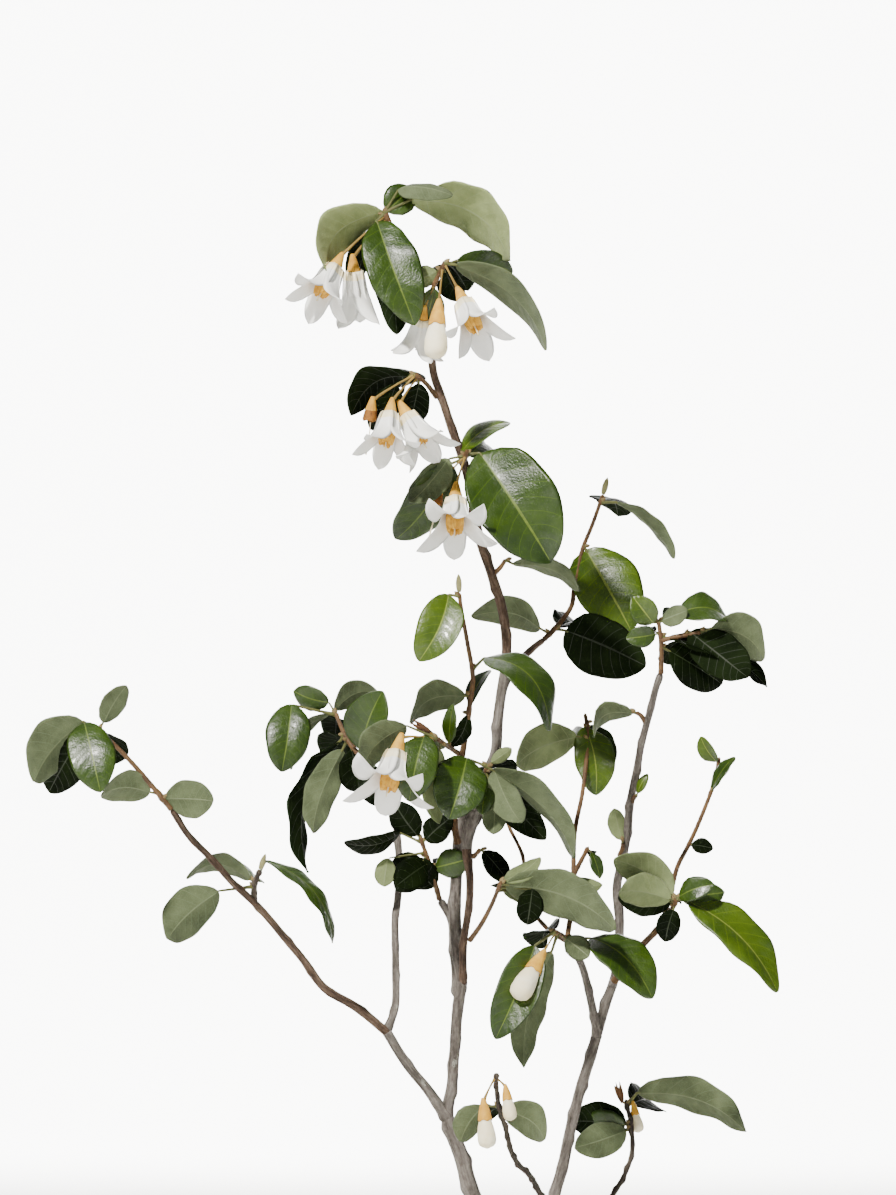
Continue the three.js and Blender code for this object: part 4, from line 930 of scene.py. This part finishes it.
def marks_of(row):
    """Where a leaf's middle will lie, worked out before it is made."""
    aim, lean, long, roll, arch = row[1], row[2], row[3], row[5], row[6]
    axes = frame_of(aim, lean, roll)
    leaving = unit(axes[0] + axes[1] * 2 * arch)
    return [midrib(leaving * PETIOLE_LENGTH, axes, long, arch, share) for share in STATION_SHARES]


def clear_of(places, taken, room):
    """True where every place is at least the room away from all that is taken."""
    apart = np.linalg.norm(np.array(places)[:, None] - np.array(taken)[None, :], axis=-1)
    return apart.min() >= room


# The short spurs with two small leaves each, which only the finished plant has. They stay within the
# spray's reach, behind what it shows to the front, and clear of the rest.
SPUR_LENGTH = (8, 13)
SPUR_LEAN, SPUR_LEAN_MOST = (52, 74), 80
SPUR_TURN = 9
SPUR_FOOT_RADIUS, SPUR_TIP_RADIUS = 0.55, 0.42
SPUR_LEAF = (7, 12)
SPUR_LEAF_TURNS = (-38, 34)
SPUR_LEAF_ROLL = (-60, 60)
SPUR_LEAF_WIDTH, SPUR_LEAF_ARCH, SPUR_PETIOLE = 0.56, 0.12, 1.6
SPUR_REACH = 4
SPUR_BEHIND = 4
SPUR_OWN = 9
SPUR_CLEAR = 3.5
# Leaves behind the front ones are middling or, two times in three, deep: mostly painted shade.
BEHIND_SHADED_TONES = "mdd"


def spur(piles, foot, front, middles, taken, box, chance):
    """A short spur with two small downy leaves behind a front leaf, where there is room for it: gives the
    middles of its leaves, none where it is left out."""
    aim, lean = front[1] + chance.uniform(-SPUR_TURN, SPUR_TURN), chance.uniform(*SPUR_LEAN)
    tip = foot + heading(aim, lean) * chance.uniform(*SPUR_LENGTH)
    small = []
    for turn in SPUR_LEAF_TURNS:
        long = chance.uniform(*SPUR_LEAF)
        small.append([0, aim + turn, min(lean + 12, SPUR_LEAN_MOST), long, long * SPUR_LEAF_WIDTH,
                      chance.uniform(*SPUR_LEAF_ROLL), SPUR_LEAF_ARCH, SPUR_PETIOLE])
    reach = np.array([tip + heading(one[1], one[2]) * one[3] * share for one in small for share in (0.4, 1)])
    near = [mark for mark in taken + middles if np.linalg.norm(mark - foot) > SPUR_OWN]
    inside = ((reach >= box[0] - SPUR_REACH) & (reach <= box[1] + SPUR_REACH)).all()
    across = (reach[:, None] - np.array(middles)[None, :])[..., [0, 2]]
    hidden = np.linalg.norm(across, axis=-1).min(1).max() < SPUR_BEHIND
    if not (inside and hidden and near and clear_of(reach, near, SPUR_CLEAR)):
        return []
    line = bent(foot, (foot + tip) / 2 + np.array([0, 0, 1.2]), tip, 16)
    shoot(piles, line, [0.9], SPUR_FOOT_RADIUS, SPUR_TIP_RADIUS)
    made = []
    for one in small:
        made += leaf(piles, tip, one, BEHIND_SHADED_TONES[int(chance.integers(3))], chance, rear=True, downy=True)
    return made


def spray(piles, entry, index, taken, chance):
    """One spray: stem, side twig, leaves and blooms as in the solids, the seeded leaves behind them, and
    short spurs with small leaves."""
    stem = course(entry["route"], entry["depths"])
    twigs = [stem]
    if entry["name"] in SIDE_TWIGS:
        share, aim, lean, long = SIDE_TWIGS[entry["name"]]
        start = at(stem, share)
        twigs.append(evenly(np.vstack([start, start + heading(aim, lean) * long]), 30))
    rows = entry["leaves"] + entry["blooms"]
    for number, twig in enumerate(twigs):
        places = [row[0] % 1 for row in rows if int(row[0]) == number]
        shoot(piles, twig, places, TWIG_FOOT_RADIUS, TWIG_TIP_RADIUS, entry["name"] in OLD_SPURS)

    def foot_of(row):
        """Where on its stem or side twig a leaf or bloom starts."""
        return at(twigs[int(row[0])], row[0] % 1)

    middles = []
    for row, tone in zip(entry["leaves"], entry["tones"]):
        middles += leaf(piles, foot_of(row), row, tone, chance)
    for row in entry["blooms"]:
        middles += bloom(piles, foot_of(row), row, chance)
    draw = seeded(index + 1)
    for _ in range(entry["rear"]):
        row = rear_row(entry["leaves"], draw)
        foot = foot_of(row)
        if clear_of([foot + mark for mark in marks_of(row)], taken + middles, KEEP_CLEAR):
            middles += leaf(piles, foot, row, BEHIND_SHADED_TONES[int(chance.integers(3))], chance, rear=True)
    box = np.min(middles, axis=0), np.max(middles, axis=0)
    for row in entry["leaves"]:
        if row[3] >= SMALL_LEAF:
            middles += spur(piles, foot_of(row), row, middles, taken, box, chance)
    taken += middles + [at(twig, k / TWIG_MARKS) for twig in twigs for k in range(TWIG_MARKS + 1)]


class Wire:
    """A shader socket that takes part in sums: each operator adds the Math node that works it out."""

    def __init__(self, finish, socket):
        self.finish, self.socket = finish, socket

    def sum(self, operation, first, second):
        """The Math node of that operation on two wires or numbers."""
        return self.finish.node("Math", {"operation": operation}, {0: first, 1: second})

    def __add__(self, other):
        return self.sum("ADD", self, other)

    def __sub__(self, other):
        return self.sum("SUBTRACT", self, other)

    def __rsub__(self, other):
        return self.sum("SUBTRACT", other, self)

    def __mul__(self, other):
        return self.sum("MULTIPLY", self, other)

    __radd__ = __add__
    __rmul__ = __mul__


def colour(code):
    """A screen colour such as 5A7A28 as the light that it stands for: each channel to the power 2.2."""
    parts = [int(code[k:k + 2], 16) / 255 for k in (0, 2, 4)]
    return tuple(part ** 2.2 for part in parts) + (1,)


class Finish:
    """One material. node() adds a node, grain() a pattern on the object's own coordinates, or along the
    bark where it is made so. Fixed values go onto the shader's own sockets."""

    def __init__(self, name, along=False, **fixed):
        self.material = bpy.data.materials.new(name)
        self.material.use_nodes = True
        self.tree = self.material.node_tree
        self.shader = self.tree.nodes["Principled BSDF"]
        if along:
            self.place = self.node("Attribute", {"attribute_name": "grain_place"}, output="Vector")
        else:
            self.place = self.node("TexCoord", output="Object")
        for socket, value in fixed.items():
            self.shader.inputs[socket.replace("_", " ").title().replace("Ior", "IOR")].default_value = value

    def node(self, kind, settings=None, inputs=None, output=0):
        """A node of that kind, its settings and then its sockets set or joined, as one of its outputs."""
        made = self.tree.nodes.new("ShaderNode" + kind)
        for key, value in (settings or {}).items():
            setattr(made, key, value)
        for key, value in (inputs or {}).items():
            self.join(made.inputs[key], value)
        return Wire(self, made.outputs[output])

    def join(self, socket, value):
        """Joins a wire to a socket, or sets the socket to a plain value."""
        if isinstance(value, Wire):
            self.tree.links.new(value.socket, socket)
        else:
            socket.default_value = value

    def pattern(self, kind, scale, stretch, values, output):
        """A texture node on the place, stretched along its axes."""
        where = self.node("Mapping", {}, {"Vector": self.place, "Scale": stretch}, "Vector")
        return self.node(kind, {}, {"Vector": where, "Scale": scale, **values}, output)

    def grain(self, scale, detail=3, stretch=(1, 1, 1), rough=0.55):
        """Noise from 0 to 1 of that fineness."""
        return self.pattern("TexNoise", scale, stretch, {"Detail": detail, "Roughness": rough}, "Fac")

    def cells(self, scale, stretch=(1, 1, 1)):
        """How far each place lies from the middle of its cell."""
        return self.pattern("TexVoronoi", scale, stretch, {}, "Distance")

    def mix(self, amount, first, second):
        """One colour or another, by the amount."""
        return self.node("Mix", {"data_type": "RGBA"}, {0: amount, 6: first, 7: second}, 2)

    def ramp(self, amount, *stops):
        """Colours at stops, blended between them."""
        made = self.tree.nodes.new("ShaderNodeValToRGB")
        places = made.color_ramp.elements
        while len(places) < len(stops):
            places.new(0.5)
        for stop, (place, tint) in zip(places, stops):
            stop.position, stop.color = place, tint
        self.join(made.inputs["Fac"], amount)
        return Wire(self, made.outputs["Color"])

    def clip(self, amount, low, high):
        """The amount drawn out so that low gives 0 and high gives 1, and held there."""
        return self.node("MapRange", {}, {"Value": amount, "From Min": low, "From Max": high}, "Result")

    def clouds(self, scale, dark, light, low=0.3):
        """Two colours in soft clouds."""
        return self.mix(self.clip(self.grain(scale, 4), low, 1 - low), colour(dark), colour(light))

    def worn(self, tint, rough, height, strength, distance):
        """Joins the colour, the roughness and a bump of that height and reach in metres to the shader."""
        bump = self.node("Bump", {}, {"Height": height, "Strength": strength, "Distance": distance}, "Normal")
        for socket, value in (("Base Color", tint), ("Roughness", rough), ("Normal", bump)):
            self.join(self.shader.inputs[socket], value)
        return self.material


def upper_face(name, dark, light, gloss, shine):
    """The glossy upper side of a leaf: cloudy greens, fine meshed veins, a waxy uneven shine."""
    finish = Finish(name, coat_roughness=0.2, specular_ior_level=shine)
    net = finish.clip(finish.cells(1100), 0.0, 0.35)
    tint = finish.mix(net * 0.22, finish.clouds(95, dark, light, 0.32), colour(dark))
    speckle = finish.clip(finish.grain(1400), 0.42, 0.62)
    coat = finish.clip(finish.grain(160), 0.3, 0.7) * speckle * (1.5 * shine)
    finish.join(finish.shader.inputs["Coat Weight"], coat)
    height = finish.grain(1300) * 0.8 + finish.grain(500, 2) * 0.5
    return finish.worn(tint, gloss + finish.grain(420) * 0.3, height, 0.75, 0.0003)


def under_face(name, dark, light, down_tint, sheen, shine):
    """The matt underside: grey-green down of tiny star-shaped hairs over a fine net of veins."""
    finish = Finish(name, sheen_weight=sheen, sheen_roughness=0.5, specular_ior_level=shine)
    down = finish.grain(2600, 2)
    tint = finish.mix(finish.clip(down, 0.45, 0.75) * 0.3, finish.clouds(120, dark, light), colour(down_tint))
    return finish.worn(tint, 0.72 + down * 0.2, down + finish.cells(700) * 0.7, 0.4, 0.0002)


def vein(name, dark, light, rough):
    """A vein or midrib: pale, a little uneven, smooth along its run."""
    finish = Finish(name, specular_ior_level=0.4)
    tint = finish.mix(finish.grain(700), colour(dark), colour(light))
    return finish.worn(tint, rough + finish.grain(900, 2) * 0.2, finish.grain(1800, 2), 0.25, 0.0002)


def bark(name, deep, middle, pale, crust, coarse, crusted):
    """Bark: streaks drawn along the stem, dark in the cracks, pale on the ridges, with crusts of lichen."""
    finish = Finish(name, along=True, specular_ior_level=0.3)
    streak = finish.grain(coarse, 6, (1, 1, 0.12), 0.62)
    speck = finish.grain(coarse * 2.4, 4, (1, 1, 0.5))
    crack = finish.cells(coarse * 0.9, (1, 1, 0.22))
    tint = finish.ramp(streak * 0.75 + speck * 0.25, (0.34, colour(deep)), (0.5, colour(middle)),
                       (0.68, colour(pale)))
    tint = finish.mix(finish.clip(crack, 0.42, 0.75) * 0.4, tint, colour(deep))
    patch = finish.clip(finish.grain(150, 5, (1, 1, 0.6)), 1 - crusted, 1.02 - crusted)
    tint = finish.mix(patch * finish.clip(speck, 0.35, 0.6) * 0.8, tint, colour(crust))
    return finish.worn(tint, 0.72 + speck * 0.25, streak * 0.6 + speck * 0.5 - crack * 0.6, 0.8, 0.0009)


def skin(name, dark, light, spot, rough, scale=500, spotted=0.35, height=0.3, **fixed):
    """A soft part of a bloom or young wood: two near colours in clouds, small spots of a third, fine down."""
    finish = Finish(name, **fixed)
    flecks = finish.clip(finish.grain(scale * 1.7), 1 - spotted, 1.1 - spotted)
    tint = finish.mix(flecks * 0.6, finish.clouds(scale * 0.45, dark, light), colour(spot))
    return finish.worn(tint, rough + finish.grain(scale, 2) * 0.18, finish.grain(scale * 3), height, 0.00025)


# Each tone's colours: above dark and light, below dark and light, then the paler veins and midribs. The tones
# are one leaf's greens with light or shade painted in: the first painted light, the second plain, the third
# painted shade, the last painted sunlight.
TONES = {
    "painted_lit": ("304407", "4A5E0A", "57613F", "758058", "566814", "86904A", "616B49", "7C8561"),
    "middling": ("203207", "35490D", "434C35", "5B6549", "3E5212", "667434", "525C41", "717A5A"),
    "deep": ("0B1203", "151F06", "11180C", "1C2514", "131B07", "202B10", "151D0F", "262E1B"),
    "painted_sunlit": ("35490A", "52660F", "6E7A4C", "8E9A68", "5E701A", "8C9652", "78845A", "949E72"),
}
ABOVE_SHINE, BELOW_SHINE = (0.2, 0.45), (0.08, 0.2)
# The deep tone is painted shade: its leaves are also rougher, barely shiny and without sheen.
ABOVE_SHINE_SHADED, BELOW_SHINE_SHADED = (0.6, 0.06), (0, 0.04)
LEAF_FINISHES = []
for tone, (dark, light, below, below_light, side, mid, side_below, mid_below) in TONES.items():
    above_shine, below_shine = ABOVE_SHINE, BELOW_SHINE
    # The painted shade takes the lower shine.
    if tone == "deep":
        above_shine, below_shine = ABOVE_SHINE_SHADED, BELOW_SHINE_SHADED
    LEAF_FINISHES += [
        upper_face("upper_" + tone, dark, light, *above_shine),
        under_face("under_" + tone, below, below_light, mid_below, *below_shine),
        vein("side_vein_" + tone, light, side, 0.34),
        vein("side_vein_below_" + tone, below_light, side_below, 0.62),
        vein("midrib_" + tone, side, mid, 0.36),
        vein("midrib_below_" + tone, side_below, mid_below, 0.6),
    ]
TWIG_FINISHES = [
    skin("young_shoot", "432E1A", "6A4E2E", "2A1D10", 0.62, 420, 0.42, 0.5),
    skin("petiole_green", "40441F", "5F6032", "4C3A20", 0.6, 500, 0.36, 0.4),
    skin("bud_scales", "5C4C30", "82724C", "3A2D17", 0.75, 700, 0.4, 0.7),
    bark("twig_grey", "241F1B", "4A423A", "6B6257", "7C7D70", 800, 0.36),
]
BLOOM_FINISHES = [
    skin("calyx_apricot", "B8801E", "DCAC40", "8A5A1A", 0.62, 500, 0.28, 0.4, sheen_weight=0.05),
    skin("calyx_brown_edge", "5E3714", "96621F", "38230F", 0.7, 700, 0.45, 0.5),
    skin("petal_white", "EEEFEA", "FCFCFA", "DEE0D8", 0.5, 260, 0.3, 0.35, sheen_weight=0.1),
    skin("anther_orange", "B87C12", "E8B444", "805010", 0.6, 900, 0.36, 0.6),
    skin("filament_cream", "E8D8A8", "F6EDCE", "C9B47A", 0.5, 500, 0.3, 0.3),
    skin("bud_cream", "F4E4B6", "FFF8DC", "E0C88E", 0.55, 320, 0.32, 0.4),
    skin("husk_brown", "38230F", "5E3E22", "1E130A", 0.8, 600, 0.42, 0.7),
    skin("tip_bud_fur", "666440", "8C885A", "54452A", 0.8, 800, 0.36, 0.7, sheen_weight=0.3),
    skin("bloom_stalk", "6A5222", "92783A", "46331A", 0.66, 600, 0.34, 0.4),
]
GREY = bark("bark_grey", "36312D", "66605A", "88827C", "98988E", 620, 0.34)
BROWN = bark("bark_brown", "2A2019", "57463A", "7C6A5A", "8A8272", 700, 0.3)
REDDISH = bark("bark_reddish", "2A1C10", "563F27", "7C664C", "8A7C66", 760, 0.3)
BARKS = {"old_bark": [GREY, BROWN], "young_bark": [REDDISH, BROWN, GREY]}

chance = np.random.default_rng(5)
taken = []
limbs = {"old_bark": Pile(), "young_bark": Pile()}
for entry in LIMBS:
    limb(limbs[entry["bark"]], entry, chance)
    curve = course(entry["route"], entry["depths"])
    taken += list(evenly(curve, max(4, round(steps_of(curve).sum() / 10)) + 1))
for kind, pile in limbs.items():
    stems = pile.mesh(kind + "_stems", BARKS[kind])
    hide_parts(*[entry["name"] for entry in LIMBS if entry["bark"] == kind])
    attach(stems, "root")

DRESS = {"leaves": (LEAF_FINISHES, "foliage"), "twigs": (TWIG_FINISHES, "young_bark"),
         "blooms": (BLOOM_FINISHES, "bloom")}
crowns = {}
for index, entry in enumerate(SPRAYS):
    piles = crowns.setdefault(entry["part"], {kind: Pile() for kind in DRESS})
    spray(piles, entry, index, taken, chance)
for part, piles in crowns.items():
    for kind, (finishes, slot) in DRESS.items():
        if piles[kind].count:
            made = piles[kind].mesh(part + "_" + kind, finishes)
            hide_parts(*[entry["name"] for entry in SPRAYS if entry["part"] == part])
            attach(made, "root")

# The studio, in metres and watts.
FLOOR_HALF, WALL_HALF = 5, 1.8
FLOOR_FRONT, FLOOR_NARROWS, FLOOR_RISES = -6, 1.0, 1.6
SWEEP_RADIUS = 0.9
WALL_TOP = 5
LIT_MIDDLE = (-0.03, 0, 0.25)
AIR_TINT, AIR_STRENGTH = (1, 0.99, 0.97, 1), 0.16


def studio():
    """A pale floor that sweeps up into the wall behind: level, then a quarter turn, then upright. The wall
    is narrower than the floor, so that the plant can also be seen past it from behind."""
    turn = np.linspace(0, np.pi / 2, 17)
    back = FLOOR_RISES + SWEEP_RADIUS
    y = np.concatenate([[FLOOR_FRONT, FLOOR_NARROWS], FLOOR_RISES + SWEEP_RADIUS * np.sin(turn), [back]])
    z = np.concatenate([[0, 0], SWEEP_RADIUS - SWEEP_RADIUS * np.cos(turn), [WALL_TOP]])
    x = np.where(y > FLOOR_NARROWS, WALL_HALF, FLOOR_HALF)[:, None] * np.array([-1, 0, 1])
    points = np.stack(np.broadcast_arrays(x, y[:, None], z[:, None]), -1).reshape(-1, 3)
    mark = np.arange(len(points)).reshape(len(y), 3)
    faces = np.stack([mark[:-1, :-1], mark[:-1, 1:], mark[1:, 1:], mark[1:, :-1]], -1).reshape(-1, 4)
    mesh = bpy.data.meshes.new("studio_floor")
    mesh.from_pydata(points.tolist(), [], faces.tolist())
    mesh.polygons.foreach_set("use_smooth", np.ones(len(faces), bool))
    mesh.materials.append(skin("studio_white", "F4F4F2", "FAFAF8", "F0F0EE", 0.8, 3, 0.3, 0.05))
    placed("studio_floor", mesh)


def lamp(name, kind, energy, place, look_at, tint, **shape):
    """A lamp of that kind and power at a place, turned to look at another, with its size or its cone."""
    light = bpy.data.lights.new(name, kind)
    light.energy, light.color = energy, tint
    for setting, value in shape.items():
        setattr(light, setting, value)
    made = placed(name, light)
    made.location = place
    away = np.array(place) - np.array(look_at)
    made.rotation_euler = (np.arctan2(np.hypot(away[0], away[1]), away[2]), 0,
                           np.arctan2(away[0], -away[1]))


studio()
lamp("key_lamp", "AREA", 135, (-0.8, -1.5, 1.9), LIT_MIDDLE, (1, 0.97, 0.91), size=0.11)
lamp("fill_lamp", "AREA", 6, (1.8, -1.6, 0.9), LIT_MIDDLE, (0.97, 0.98, 1), size=1.6)
lamp("wall_lamp", "SPOT", 2600, (0, 0.9, 2.6), (0, 2.35, 0.2), (1, 1, 1),
     spot_size=1.15, spot_blend=0.5, shadow_soft_size=0.3)
world = bpy.data.worlds.new("studio_air")
world.use_nodes = True
world.node_tree.nodes["Background"].inputs["Color"].default_value = AIR_TINT
world.node_tree.nodes["Background"].inputs["Strength"].default_value = AIR_STRENGTH
bpy.context.scene.world = world

lens = bpy.data.cameras.new("front_camera")
lens.sensor_width = SENSOR
lens.lens = SENSOR * CAMERA_AWAY / (IMAGE_HIGH * MM_PER_PIXEL * MM)
lens.clip_end = 20
camera = placed("front_camera", lens)
camera.location = CAMERA_PLACE
camera.rotation_euler = (np.pi / 2, 0, 0)
bpy.context.scene.camera = camera

bpy.context.view_layer.update()
